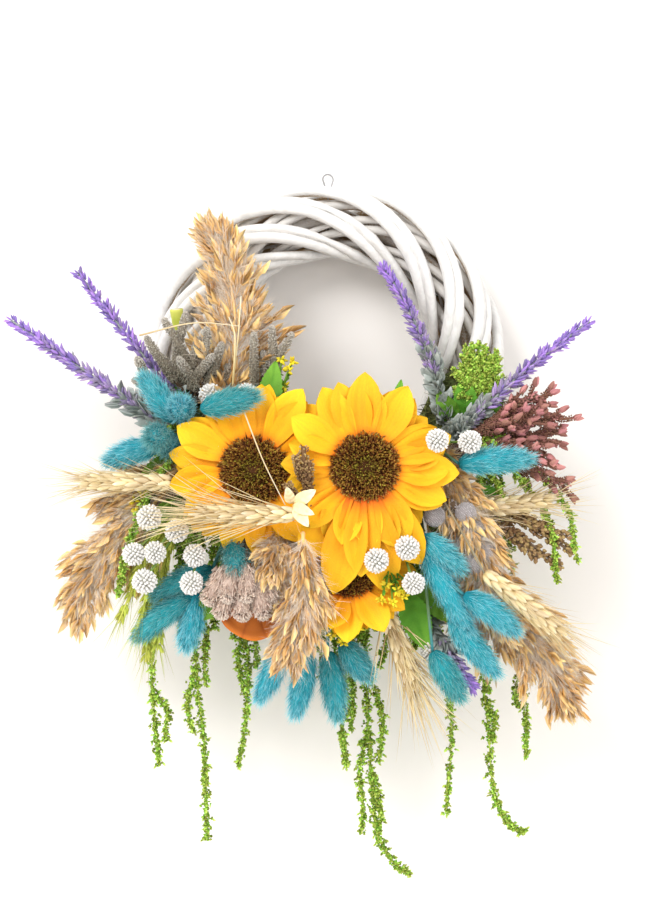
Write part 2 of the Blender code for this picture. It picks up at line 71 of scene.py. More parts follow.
def wall_paint(name, colour):
    """Matt paint that is only there from its front, so the back of the wreath can be seen."""
    paint, tree, shader = new_finish(name)
    nodes, links = tree.nodes, tree.links
    shader.inputs["Roughness"].default_value = 0.95
    speckle = nodes.new("ShaderNodeTexNoise")
    speckle.inputs["Scale"].default_value = 9.0
    tone = nodes.new("ShaderNodeMix")
    tone.data_type = "RGBA"
    tone.inputs["A"].default_value = (*colour, 1)
    tone.inputs["B"].default_value = (*[c * 0.985 for c in colour], 1)
    links.new(speckle.outputs["Fac"], tone.inputs["Factor"])
    links.new(tone.outputs["Result"], shader.inputs["Base Color"])
    side = nodes.new("ShaderNodeNewGeometry")
    clear = nodes.new("ShaderNodeBsdfTransparent")
    choose = nodes.new("ShaderNodeMixShader")
    links.new(side.outputs["Backfacing"], choose.inputs["Fac"])
    links.new(shader.outputs["BSDF"], choose.inputs[1])
    links.new(clear.outputs["BSDF"], choose.inputs[2])
    links.new(choose.outputs["Shader"], nodes["Material Output"].inputs["Surface"])
    return paint


def stage_plane(name, corners, paint):
    mesh = bpy.data.meshes.new(name)
    mesh.from_pydata(corners, [], [(0, 1, 2, 3)])
    mesh.materials.append(paint)
    plane = bpy.data.objects.new(name, mesh)
    SCENE.collection.objects.link(plane)


ring_low, ring_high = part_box("core_hoop")
WALL_Y = max(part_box(node)[1].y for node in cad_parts) + 0.004
paint = wall_paint("wall_paint", (0.95, 0.928, 0.905))
stage_plane("wall", [(-4, WALL_Y, -0.95), (4, WALL_Y, -0.95), (4, WALL_Y, 4), (-4, WALL_Y, 4)], paint)
stage_plane("floor", [(-4, -4, -0.95), (4, -4, -0.95), (4, WALL_Y, -0.95), (-4, WALL_Y, -0.95)], paint)


def soft_light(name, place, aim, size, power, colour):
    lamp = bpy.data.lights.new(name, "AREA")
    lamp.shape = "DISK"
    lamp.size = size
    lamp.energy = power
    lamp.color = colour
    holder = bpy.data.objects.new(name, lamp)
    holder.location = place
    holder.rotation_euler = (Vector(aim) - Vector(place)).to_track_quat("-Z", "Y").to_euler()
    SCENE.collection.objects.link(holder)


soft_light("window", (-1.3, -1.9, 1.3), (0, 0, -0.2), 1.3, 46, (1.0, 0.985, 0.965))
soft_light("fill", (1.6, -1.8, 0.3), (0, 0, -0.2), 1.6, 14, (1.0, 0.99, 0.985))
sky = bpy.data.worlds.new("sky")
sky.use_nodes = True
sky.node_tree.nodes["Background"].inputs["Color"].default_value = (1.0, 0.99, 0.98, 1)
sky.node_tree.nodes["Background"].inputs["Strength"].default_value = 0.86
SCENE.world = sky


# ---------------------------------------------------------------- willow ring
# Pairs of round willow rods and thinner ones laid the other way, wound on a hoop and dipped in white paint.
# The paint has rubbed thin on the crests. Where the rods turn in towards the middle of the tube the colour
# goes tan: partly the bare wood the paint never reached, partly painted shade in the crevices between the
# rods.

RING_CENTRE = np.array((ring_low + ring_high) / 2)
HOOP = 0.0058
RING_RADIUS = (ring_high.x - ring_low.x) / 2 - HOOP
ROD = 0.0043
SLAT = 0.0034
TUBE_WIDE = 0.027 - ROD
TUBE_DEEP = 0.024 - ROD


def unit_rows(rows):
    return rows / np.maximum(np.linalg.norm(rows, axis=-1, keepdims=True), 1e-12)


def smooth_path(knots, count):
    """A path of count points through the knots."""
    knots = np.asarray(knots, float)
    if len(knots) == 2:
        return knots[0] + (knots[1] - knots[0]) * np.linspace(0, 1, count)[:, None]
    padded = np.vstack([2 * knots[0] - knots[1], knots, 2 * knots[-1] - knots[-2]])
    spot = np.linspace(0, len(knots) - 1.0001, count)
    at = spot.astype(int)
    t = (spot - at)[:, None]
    a, b, c, d = (padded[at + k] for k in range(4))
    return 0.5 * (
        2 * b + (c - a) * t + (2 * a - 5 * b + 4 * c - d) * t ** 2 + (3 * b - a - 3 * c + d) * t ** 3
    )


def carried_frames(path):
    """Direction, side and lift at each point of a path, carried along without twisting."""
    ahead = unit_rows(np.gradient(path, axis=0))
    start = np.array((0.0, -1.0, 0.0))
    if abs(ahead[0] @ start) > 0.9:
        start = np.array((1.0, 0.0, 0.0))
    side = np.empty_like(path)
    for number in range(len(path)):
        start = start - (start @ ahead[number]) * ahead[number]
        start = start / np.linalg.norm(start)
        side[number] = start
    return ahead, side, np.cross(ahead, side)


def sweep(path, radii, sides=8, flat=1.0, chance=0.5, shade=1.0, along=(0, 1)):
    """A closed bar along a path: vertices, faces and tint (along, chance, shade)."""
    path = np.asarray(path, float)
    count = len(path)
    radii = np.broadcast_to(np.asarray(radii, float), (count,))
    side, lift = carried_frames(path)[1:]
    turn = 2 * np.pi * np.arange(sides) / sides
    ring = np.cos(turn)[None, :, None] * side[:, None] * flat + np.sin(turn)[None, :, None] * lift[:, None]
    points = (path[:, None] + ring * radii[:, None, None]).reshape(-1, 3)
    row = np.arange(count - 1)[:, None] * sides
    step = np.arange(sides)
    after = (step + 1) % sides
    quads = np.stack([row + step, row + after, row + sides + after, row + sides + step], -1).reshape(-1, 4)
    caps = np.stack([step[::-1], step + (count - 1) * sides])
    tint = np.empty((len(points), 3))
    tint[:, 0] = np.repeat(np.linspace(*along, count), sides)
    tint[:, 1] = chance
    tint[:, 2] = np.repeat(np.broadcast_to(shade, (count,)), sides)
    return points, [quads, caps], tint


def lay(name, parts, finishes, body="wreath", stands_for=(), soft=True):
    """One object from parts, each (vertices, faces, tint, number of its finish)."""
    at = 0
    points, tints, starts, corners, picks = [], [], [], [], []
    for vertices, faces, tint, pick in parts:
        points.append(vertices)
        tints.append(tint)
        for group in faces:
            corners.append((group + at).ravel())
            starts.append(np.full(len(group), group.shape[1]))
            picks.append(np.full(len(group), pick))
        at += len(vertices)
    points, tints = np.vstack(points), np.vstack(tints)
    corners, sizes, picks = np.concatenate(corners), np.concatenate(starts), np.concatenate(picks)
    mesh = bpy.data.meshes.new(name)
    mesh.vertices.add(len(points))
    mesh.vertices.foreach_set("co", points.astype(np.float32).ravel())
    mesh.loops.add(len(corners))
    mesh.loops.foreach_set("vertex_index", corners.astype(np.int32))
    mesh.polygons.add(len(sizes))
    mesh.polygons.foreach_set("loop_start", (np.cumsum(sizes) - sizes).astype(np.int32))
    mesh.polygons.foreach_set("loop_total", sizes.astype(np.int32))
    mesh.polygons.foreach_set("material_index", picks.astype(np.int32))
    mesh.update(calc_edges=True)
    mesh.polygons.foreach_set("use_smooth", np.full(len(sizes), soft))
    paint = mesh.attributes.new("tint", "FLOAT_COLOR", "POINT")
    paint.data.foreach_set("color", np.hstack([tints, np.ones((len(tints), 1))]).astype(np.float32).ravel())
    for finish in finishes:
        mesh.materials.append(finish)
    piece = bpy.data.objects.new(name, mesh)
    SCENE.collection.objects.link(piece)
    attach(piece, body)
    if stands_for:
        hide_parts(*stands_for)
    return piece


def group_with(name, inputs, outputs):
    """A shader node group with named sockets, and its two ends."""
    group = bpy.data.node_groups.new(name, "ShaderNodeTree")
    for label, kind, value in inputs:
        socket = group.interface.new_socket(label, in_out="INPUT", socket_type=kind)
        socket.default_value = value
    for label, kind in outputs:
        group.interface.new_socket(label, in_out="OUTPUT", socket_type=kind)
    return group, group.nodes.new("NodeGroupInput"), group.nodes.new("NodeGroupOutput")


def node(tree, kind, links=(), **settings):
    """A new node with some settings, and links as (source socket, input name or number)."""
    made = tree.nodes.new(kind)
    for key, value in settings.items():
        if hasattr(made, key):
            setattr(made, key, value)
    for source, target in links:
        if isinstance(source, (int, float, tuple)):
            made.inputs[target].default_value = source
        else:
            tree.links.new(source, made.inputs[target])
    return made


def maths(tree, operation, *values):
    """The result of a sum on sockets or numbers."""
    return node(tree, "ShaderNodeMath", list(zip(values, range(3))), operation=operation).outputs[0]


def blend(tree, share, low, high):
    """The colour between two colours, by a share."""
    return node(tree, "ShaderNodeMix", [(share, 0), (low, 6), (high, 7)], data_type="RGBA").outputs[2]


COLOUR, NUMBER = "NodeSocketColor", "NodeSocketFloat"

# Paint on wood: white where it holds, wood where it is rubbed, and tan where the shade value in tint is low,
# which is painted shade in the crevices together with the bare wood the paint never reached.
PAINT_WEAR_AND_SHADE, worn_in, worn_out = group_with(
    "worn_paint",
    [
        ("Paint", COLOUR, (1, 1, 1, 1)), ("Wood", COLOUR, (0.4, 0.25, 0.1, 1)), ("Scale", NUMBER, 60.0),
        ("Wear", NUMBER, 0.5)
    ],
    [("Colour", COLOUR), ("Bare and shaded", NUMBER), ("Height", NUMBER)]
)
painted = node(PAINT_WEAR_AND_SHADE, "ShaderNodeAttribute", attribute_name="tint")
painted_parts = node(PAINT_WEAR_AND_SHADE, "ShaderNodeSeparateColor", [(painted.outputs["Color"], 0)])
grain_run = node(PAINT_WEAR_AND_SHADE, "ShaderNodeAttribute", attribute_name="run")
streak = node(
    PAINT_WEAR_AND_SHADE, "ShaderNodeTexNoise",
    [(grain_run.outputs["Vector"], "Vector"), (worn_in.outputs["Scale"], "Scale"), (3.0, "Detail")]
)
patch = node(PAINT_WEAR_AND_SHADE, "ShaderNodeTexNoise", [(130.0, "Scale"), (2.0, "Detail")])
patch_soft = node(PAINT_WEAR_AND_SHADE, "ShaderNodeTexNoise", [(28.0, "Scale"), (2.0, "Detail")])
rub = maths(PAINT_WEAR_AND_SHADE, "MULTIPLY", streak.outputs["Fac"], patch.outputs["Fac"])
# Subtracting the shade value lets painted shade in the crevices show as tan wood, along with the rubbed
# streaks.
rub_and_shade = maths(PAINT_WEAR_AND_SHADE, "SUBTRACT", rub, painted_parts.outputs["Blue"])
wear_and_shade = maths(PAINT_WEAR_AND_SHADE, "ADD", rub_and_shade, worn_in.outputs["Wear"])
bare_and_shaded = node(
    PAINT_WEAR_AND_SHADE, "ShaderNodeMapRange", [(wear_and_shade, 0), (0.0, 1), (0.22, 2)], interpolation_type="SMOOTHSTEP"
)
dulled = node(PAINT_WEAR_AND_SHADE, "ShaderNodeHueSaturation", [(worn_in.outputs["Paint"], "Color")])
dull_by = node(
    PAINT_WEAR_AND_SHADE, "ShaderNodeMapRange", [(patch_soft.outputs["Fac"], 0), (0.3, 1), (0.7, 2), (0.86, 3), (1.04, 4)]
)
PAINT_WEAR_AND_SHADE.links.new(dull_by.outputs[0], dulled.inputs["Value"])
blended = blend(PAINT_WEAR_AND_SHADE, bare_and_shaded.outputs[0], dulled.outputs[0], worn_in.outputs["Wood"])
PAINT_WEAR_AND_SHADE.links.new(blended, worn_out.inputs["Colour"])
PAINT_WEAR_AND_SHADE.links.new(bare_and_shaded.outputs[0], worn_out.inputs["Bare and shaded"])
PAINT_WEAR_AND_SHADE.links.new(streak.outputs["Fac"], worn_out.inputs["Height"])


def willow_finish(name, paint, wood, wear):
    finish, tree, shader = new_finish(name)
    coat = tree.nodes.new("ShaderNodeGroup")
    coat.node_tree = PAINT_WEAR_AND_SHADE
    coat.inputs["Paint"].default_value = (*paint, 1)
    coat.inputs["Wood"].default_value = (*wood, 1)
    coat.inputs["Scale"].default_value = 1.0
    coat.inputs["Wear"].default_value = wear
    tree.links.new(coat.outputs["Colour"], shader.inputs["Base Color"])
    rough = node(tree, "ShaderNodeMapRange", [(coat.outputs["Bare and shaded"], 0), (0.42, 3), (0.8, 4)])
    tree.links.new(rough.outputs[0], shader.inputs["Roughness"])
    bump = node(
        tree, "ShaderNodeBump",
        [(coat.outputs["Height"], "Height"), (0.35, "Strength"), (0.0006, "Distance")]
    )
    tree.links.new(bump.outputs["Normal"], shader.inputs["Normal"])
    return finish


def add_run(piece, run):
    """A coordinate that runs with the grain, for the streaks in a finish."""
    grain = piece.data.attributes.new("run", "FLOAT_VECTOR", "POINT")
    grain.data.foreach_set("vector", np.asarray(run, np.float32).ravel())


white_rod = willow_finish("white_willow_rod", (0.83, 0.82, 0.80), (0.42, 0.27, 0.13), 0.0)
# The slat finish has the rod's paint and wood made darker: painted shade for the slats and the hoop, which
# lie under the rods.
shaded_white_slat = willow_finish("white_willow_slat_shaded", (0.76, 0.74, 0.71), (0.33, 0.21, 0.11), 0.06)


def wound_rod(name, thick, wide, deep, turns, phase, start, finish, seed, beside):
    """Two rods laid side by side once round the ring, each thicker at its butt and knotted."""
    steps, sides = 230, 12
    dice = np.random.default_rng(seed)
    parts, runs = [], []
    for lag, share_of in ((0, 1.0), (beside, 0.80)):
        angle = np.radians(
            start + 3 * lag / beside + (360 - math.degrees(0.006 / RING_RADIUS)) * np.linspace(0, 1, steps)
        )
        wander = 0.05 * np.sin(2 * angle + seed) * (lag > 0)
        wind = turns * angle + math.radians(phase + lag) + wander
        reach = RING_RADIUS + wide * np.cos(wind)
        path = RING_CENTRE + np.stack([reach * np.cos(angle), deep * np.sin(wind), reach * np.sin(angle)], 1)
        share = np.linspace(0, 1, steps)
        radius = thick * share_of * (
            1.02 - 0.14 * share + 0.03 * np.sin(share * 21 + seed) + 0.02 * np.sin(share * 53 + 2 * seed)
        )
        for knot in dice.uniform(0.04, 0.96, 7):
            radius = radius + thick * 0.14 * np.exp(-((share - knot) / 0.006) ** 2)
        radius = radius * (1 - 0.35 * (lag > 0) * np.exp(-((np.degrees(angle) % 360 - 90) / 6) ** 2))
        radius[:3] *= (0.45, 0.8, 0.95)
        radius[-3:] *= (0.95, 0.8, 0.45)
        points, faces, tint = sweep(path, radius, sides, chance=dice.random())
        tube_middle = RING_CENTRE + RING_RADIUS * np.stack([np.cos(angle), 0 * angle, np.sin(angle)], 1)
        out = unit_rows(path - tube_middle)
        skin = (points.reshape(steps, sides, 3) - path[:, None]) / radius[:, None, None]
        facing = np.einsum("isk,ik->is", skin, out)
        # Sides that face in towards the tube's core get a low shade value, which the finish turns tan:
        # painted shade in the crevices, and bare wood the paint missed.
        tint[:, 2] = np.clip(0.56 + 0.62 * facing, 0, 1).ravel()
        length = np.concatenate([[0], np.cumsum(np.linalg.norm(np.diff(path, axis=0), axis=1))])
        parts.append((points, faces, tint, 0))
        around = np.arange(sides) * 2 * np.pi / sides
        runs.append(np.stack([
            np.repeat(length * 26, sides) + seed + lag,
            np.tile(np.cos(around) * 2.2, steps),
            np.tile(np.sin(around) * 2.2, steps),
        ], 1))
    piece = lay(name + "_bark", parts, [finish], stands_for=[name])
    add_run(piece, np.vstack(runs))
    return piece


for rod in range(6):
    wound_rod(f"willow_rod_{rod + 1}", ROD, TUBE_WIDE, TUBE_DEEP, 2, 60 * (rod + 0.5) - 180,
              250 + 8 * rod, white_rod, 10 + rod, 20.5)
inset = ROD + SLAT + 0.0011
for slat in range(4):
    wound_rod(f"willow_slat_{slat + 1}", SLAT, TUBE_WIDE - inset, TUBE_DEEP - inset, -2,
              90 * (slat + 0.5) + 180, 240 + 15 * slat, shaded_white_slat, 30 + slat, 31)

angle = np.linspace(0, 2 * np.pi, 181)[:-1]
hoop_path = RING_CENTRE + RING_RADIUS * np.stack([np.cos(angle), 0 * angle, np.sin(angle)], 1)
hoop_path = np.vstack([hoop_path, hoop_path[:1]])
# The hoop's low shade value of 0.25 turns much of it tan in the finish: painted shade for the core that lies
# deep inside the rods.
points, faces, tint = sweep(hoop_path, 0.00575 + 0.0001 * np.sin(np.linspace(0, 90, 181)), 14, shade=0.25)
hoop = lay(
    "core_hoop_bark", [(points, faces[:1], tint, 0)], [shaded_white_slat], stands_for=["core_hoop"],
)
add_run(
    hoop,
    np.stack(
        [
            np.repeat(np.linspace(0, 16, 181), 14), np.tile(np.cos(np.arange(14)), 181),
            np.tile(np.sin(np.arange(14)), 181)
        ],
        1
    )
)


# ---------------------------------------------------------------- hanging wire
# A turn of thin galvanised wire round the hoop, brought up between the rods and bent
# into a small eye for the nail. It tips a little on the hoop.

wire, wire_tree, wire_shader = new_finish("galvanised_wire")
wire_shader.inputs["Metallic"].default_value = 1.0
zinc = node(wire_tree, "ShaderNodeTexNoise", [(900.0, "Scale"), (3.0, "Detail")])
zinc_tone = blend(wire_tree, zinc.outputs["Fac"], (0.16, 0.16, 0.17, 1), (0.62, 0.62, 0.63, 1))
zinc_rough = node(wire_tree, "ShaderNodeMapRange", [(zinc.outputs["Fac"], 0), (0.25, 3), (0.6, 4)])
wire_tree.links.new(zinc_tone, wire_shader.inputs["Base Color"])
wire_tree.links.new(zinc_rough.outputs[0], wire_shader.inputs["Roughness"])
loop_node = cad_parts["hanging_loop"]
loop_node.data.materials.clear()
loop_node.data.materials.append(wire)


# ---------------------------------------------------------------- moss pad
# A crescent of florist's foam wrapped in dry moss and wired over the lower half of the
# ring. All stems are pushed and glued into it, and short greens fill between them.

pad_low, pad_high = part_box("moss_pad")
PAD_FACE = pad_low.y - 0.0003

TONE, tone_in, tone_out = group_with(
    "plant_tone",
    [
        ("Root", COLOUR, (0.2, 0.2, 0.1, 1)), ("Middle", COLOUR, (0.3, 0.3, 0.1, 1)),
        ("Tip", COLOUR, (0.5, 0.5, 0.2, 1)), ("Low", NUMBER, 0.4), ("High", NUMBER, 0.6),
        ("Variation", NUMBER, 0.3), ("Mottle", NUMBER, 0.3), ("Scale", NUMBER, 300.0)
    ],
    [("Colour", COLOUR), ("Height", NUMBER)]
)
tinted = node(TONE, "ShaderNodeAttribute", attribute_name="tint")
parts_of = node(TONE, "ShaderNodeSeparateColor", [(tinted.outputs["Color"], 0)])
lower = node(
    TONE, "ShaderNodeMapRange", [(parts_of.outputs["Red"], 0), (0.0, 1), (tone_in.outputs["Low"], 2)],
    interpolation_type="SMOOTHSTEP"
)
upper = node(
    TONE, "ShaderNodeMapRange", [(parts_of.outputs["Red"], 0), (tone_in.outputs["High"], 1), (1.0, 2)],
    interpolation_type="SMOOTHSTEP"
)
first = blend(TONE, lower.outputs[0], tone_in.outputs["Root"], tone_in.outputs["Middle"])
second = blend(TONE, upper.outputs[0], first, tone_in.outputs["Tip"])
speck = node(
    TONE, "ShaderNodeTexNoise", [(tone_in.outputs["Scale"], "Scale"), (3.0, "Detail"), (0.65, "Roughness")]
)
grain = node(TONE, "ShaderNodeAttribute", attribute_name="run")
vein = node(
    TONE, "ShaderNodeTexNoise", [(grain.outputs["Vector"], "Vector"), (1.0, "Scale"), (2.0, "Detail")]
)
odds = maths(TONE, "SUBTRACT", parts_of.outputs["Green"], 0.5)
odds_by = maths(TONE, "MULTIPLY", odds, tone_in.outputs["Variation"])
hue = maths(TONE, "MULTIPLY_ADD", odds_by, 0.06, 0.5)
blotch = maths(TONE, "ADD", speck.outputs["Fac"], vein.outputs["Fac"])
blotch_odds = maths(TONE, "SUBTRACT", blotch, 1.0)
blotch_by = maths(TONE, "MULTIPLY_ADD", blotch_odds, tone_in.outputs["Mottle"], 1.0)
bright = maths(TONE, "ADD", odds_by, blotch_by)
# Blue of tint is the shade value; it darkens the colour down to three tenths, as painted shade on the parts
# given a low value because they lie deep among others. Where the value is drawn at random it gives a random
# tone instead.
painted_shade = maths(TONE, "MULTIPLY_ADD", parts_of.outputs["Blue"], 0.7, 0.3)
value = maths(TONE, "MULTIPLY", bright, painted_shade)
toned = node(TONE, "ShaderNodeHueSaturation", [(hue, "Hue"), (value, "Value"), (second, "Color")])
TONE.links.new(toned.outputs[0], tone_out.inputs["Colour"])
TONE.links.new(blotch, tone_out.inputs["Height"])


def plant(
    name, root, middle, tip, low=0.4, high=0.6, variation=0.35, mottle=0.35, scale=400.0, rough=0.8,
    bump=0.3, sheen=0.0
):
    """A dried or fabric plant finish that turns from root to middle to tip."""
    finish, tree, shader = new_finish(name)
    tone = tree.nodes.new("ShaderNodeGroup")
    tone.node_tree = TONE
    for label, colour in (("Root", root), ("Middle", middle), ("Tip", tip)):
        tone.inputs[label].default_value = (*colour, 1)
    for label, number in (
        ("Low", low), ("High", high), ("Variation", variation), ("Mottle", mottle), ("Scale", scale)
    ):
        tone.inputs[label].default_value = number
    tree.links.new(tone.outputs["Colour"], shader.inputs["Base Color"])
    ridge = node(
        tree, "ShaderNodeBump",
        [(tone.outputs["Height"], "Height"), (bump, "Strength"), (0.0008, "Distance")]
    )
    tree.links.new(ridge.outputs["Normal"], shader.inputs["Normal"])
    dull = node(
        tree, "ShaderNodeMapRange",
        [(tone.outputs["Height"], 0), (0.6, 1), (1.4, 2), (rough - 0.12, 3), (min(1, rough + 0.12), 4)]
    )
    tree.links.new(dull.outputs[0], shader.inputs["Roughness"])
    shader.inputs["Sheen Weight"].default_value = sheen
    shader.inputs["Specular IOR Level"].default_value = 0.25
    return finish


def turned(profile, sides=6):
    """A small closed shape on +Z from (radius, height) pairs between its two end heights."""
    turn = 2 * np.pi * np.arange(sides) / sides
    rows = [[(0, 0, profile[0][1])]]
    rows += [[(r * math.cos(a), r * math.sin(a), h) for a in turn] for r, h in profile[1:-1]]
    rows += [[(0, 0, profile[-1][1])]]
    points = np.array([p for row in rows for p in row], float)
    step = np.arange(sides)
    after = (step + 1) % sides
    last = 1 + (len(profile) - 3) * sides
    ends = np.vstack([
        np.stack([0 * step, 1 + after, 1 + step], 1),
        np.stack([last + step, last + after, np.full(sides, len(points) - 1)], 1),
    ])
    quads = [np.stack([1 + row * sides + step, 1 + row * sides + after, 1 + (row + 1) * sides + after,
                       1 + (row + 1) * sides + step], 1) for row in range(len(profile) - 3)]
    return points, [ends] + ([np.vstack(quads)] if quads else [])


def blade(widths, bend=0.0, fold=0.0):
    """A thin strip on +Z with the given half widths, bent and folded along its middle."""
    high = np.linspace(0, 1, len(widths))
    columns = (-1, 0, 1) if fold else (-1, 1)
    points = np.array(
        [
            (side * w, bend * z * z + fold * w * abs(side), z) for w,
            z in zip(widths, high) for side in columns
        ]
    )
    wide = len(columns)
    quads = [(r * wide + c, r * wide + c + 1, (r + 1) * wide + c + 1, (r + 1) * wide + c)
             for r in range(len(widths) - 1) for c in range(wide - 1)]
    return points, [np.array(quads)]


def scatter(shape, places, aims, sizes, dice, chance=None, along=None, shade=1.0):
    """Copies of a small shape at the places, each turned to its aim and scaled."""
    points, faces = shape
    places = np.atleast_2d(places)
    aims = unit_rows(np.broadcast_to(aims, places.shape).astype(float))
    count = len(places)
    sizes = np.asarray(sizes, float)
    sizes = np.broadcast_to(
        sizes[:, None] if sizes.ndim == 1 and len(sizes) == count and count != 3 else sizes, (count, 3)
    )
    guide = np.where(np.abs(aims[:, 2:]) < 0.9, (0.0, 0.0, 1.0), (1.0, 0.0, 0.0))
    side = unit_rows(np.cross(guide, aims))
    lift = np.cross(aims, side)
    roll = dice.uniform(0, 2 * np.pi, count)[:, None]
    side, lift = side * np.cos(roll) + lift * np.sin(roll), lift * np.cos(roll) - side * np.sin(roll)
    scaled = points[None] * sizes[:, None]
    placed = places[:, None] + scaled[..., :1] * side[:, None] + scaled[
        ..., 1:2
    ] * lift[:, None] + scaled[..., 2:] * aims[:, None]
    size = len(points)
    offset = (np.arange(count) * size)[:, None, None]
    tint = np.empty((count, size, 3))
    high = points[:, 2] / max(points[:, 2].max(), 1e-9)
    tint[..., 0] = high[None] if along is None else np.broadcast_to(along, (count,))[:, None]
    tint[..., 1] = (dice.random(count) if chance is None else np.broadcast_to(chance, (count,)))[:, None]
    tint[..., 2] = np.broadcast_to(shade, (count,))[:, None]
    return placed.reshape(-1, 3), [
        (group[None] + offset).reshape(-1, group.shape[1]) for group in faces
    ], tint.reshape(-1, 3)


def strips(width, length):
    """Sizes for blades of a width and a length each."""
    return np.stack([np.broadcast_to(width, length.shape), length, length], 1)


def near(aims, spread, dice):
    """Directions scattered about the given ones."""
    return unit_rows(unit_rows(np.asarray(aims, float)) + spread * dice.normal(size=np.shape(aims)))


def on_path(path, radii, count, dice, flat=1.0, span=(0, 1)):
    """Random places on a bar: points, outward directions, forward directions and shares."""
    path = np.asarray(path, float)
    ahead, side, lift = carried_frames(path)
    share = dice.uniform(*span, count)
    spot = share * (len(path) - 1.001)
    at = spot.astype(int)
    part = (spot - at)[:, None]
    base = path[at] * (1 - part) + path[at + 1] * part
    radii = np.broadcast_to(np.asarray(radii, float), (len(path),))
    reach = radii[at][:, None] * (1 - part) + radii[at + 1][:, None] * part
    turn = dice.uniform(0, 2 * np.pi, count)[:, None]
    out = np.cos(turn) * side[at] * flat + np.sin(turn) * lift[at]
    return base + out * reach, unit_rows(out), ahead[at], share


def grid_quads(rows, columns, closed=False):
    """The faces of a grid of points; a closed one joins its last column to its first."""
    first = np.arange((rows - 1) * columns).reshape(rows - 1, columns)
    after = first // columns * columns + (first + 1) % columns
    if not closed:
        first, after = first[:, :-1], after[:, :-1]
    return np.stack([first, after, after + columns, first + columns], -1).reshape(-1, 4)


def foot(angle, reach):
    """Where a stem enters the pad: degrees round the ring, and a share of its radius."""
    turn = math.radians(angle)
    side = RING_RADIUS * reach
    return np.array(
        (RING_CENTRE[0] + side * math.cos(turn), PAD_FACE, RING_CENTRE[2] + side * math.sin(turn))
    )


def off(base, steps):
    """Points from steps in millimetres: across, up and lift towards the viewer."""
    steps = np.atleast_2d(np.asarray(steps, float)) * 0.001
    return base + np.stack([steps[:, 0], -steps[:, 2], steps[:, 1]], 1)


HAIR = blade((1, 0.8, 0.2), 0.25)
moss = plant("dry_moss", (0.08, 0.10, 0.03), (0.19, 0.22, 0.07), (0.38, 0.42, 0.15), variation=0.7, scale=500)
dice = np.random.default_rng(3)
pad_low, pad_high = np.array(pad_low), np.array(pad_high)
PAD_IN, PAD_OUT = 0.074, 0.1245
rows, columns = 130, 22
sweep_angle = np.radians(np.linspace(190 - 8, 350 + 7, rows))
across = np.linspace(-1, 1, columns)
pad_parts = []
taper = np.clip(np.minimum(np.arange(rows), np.arange(rows)[::-1]) / 11, 0, 1)
taper = np.sqrt(1 - (1 - taper) ** 2) + 0.02
middle, half = (PAD_IN + PAD_OUT) / 2, (PAD_OUT - PAD_IN) / 2
for front in (True, False):
    grid = np.empty((rows, columns, 3))
    reach = middle + half * across[None] * taper[:, None]
    lump = dice.normal(size=(rows, columns)) * 0.0004
    dome = (1 - np.abs(across[None]) ** 4) * taper[:, None]
    grid[..., 0] = RING_CENTRE[0] + reach * np.cos(sweep_angle)[:, None]
    grid[..., 2] = RING_CENTRE[2] + reach * np.sin(sweep_angle)[:, None]
    face = PAD_FACE + 0.0042 - 0.0039 * dome + lump if front else pad_high[1] - 0.0042 + 0.0040 * dome
    grid[..., 1] = face
    quads = grid_quads(rows, columns)
    tint = np.tile((0.3, 0.5, 0.7), (rows * columns, 1))
    tint[:, 1] = dice.random(rows * columns)
    pad_parts.append((grid.reshape(-1, 3), [quads if front else quads[:, ::-1]], tint, 0))
count = 5200
at = np.radians(dice.uniform(186, 354, count))
reach = middle + half * dice.uniform(-1, 1, count) * 0.98
strand = np.stack(
    [
        RING_CENTRE[0] + reach * np.cos(at), np.full(count, PAD_FACE + 0.001),
        RING_CENTRE[2] + reach * np.sin(at)
    ],
    1
)
edge_out = ((reach - middle) / half)[:, None] * np.stack([np.cos(at), 0 * at, np.sin(at)], 1)
length = dice.uniform(0.003, 0.008, count)
pad_parts.append((*scatter(blade((1, 1, 0.7, 0.2), 0.5), strand, near(edge_out + (0, -0.6, 0), 0.5, dice),
                           strips(0.0004, length), dice, shade=dice.uniform(0.4, 1, count)), 0))
lay("moss_pad_wrap", pad_parts, [moss], stands_for=["moss_pad"])


# ---------------------------------------------------------------- sunflowers
# Fabric sunflowers. The petals are die-cut polyester, dyed from rust at the disc to bright
# yellow, pressed with creases and glued in two rings under a disc of bristles. The green
# plastic stem ends in a cup behind them.

petal_finish = plant(
    "sunflower_petal", (0.70, 0.11, 0.005), (0.99, 0.43, 0.008), (1.0, 0.60, 0.018), low=0.30, high=0.38,
    variation=0.16, mottle=0.34, scale=90, rough=0.62, bump=0.5
)
bristle = plant(
    "disc_bristle", (0.08, 0.022, 0.006), (0.34, 0.12, 0.022), (0.66, 0.36, 0.08), low=0.5, high=0.5,
    variation=1.0, scale=700, rough=0.7
)
bristle_gold = plant(
    "disc_bristle_olive", (0.12, 0.06, 0.01), (0.38, 0.24, 0.03), (0.66, 0.50, 0.09), low=0.5, high=0.5,
    variation=1.0, scale=700, rough=0.7
)
stem_green = plant(
    "stem_green", (0.10, 0.17, 0.03), (0.16, 0.26, 0.05), (0.22, 0.33, 0.08), scale=300, rough=0.6
)


GOLDEN_TURN = 2.399963  # the turn between one bristle and the next, in radians


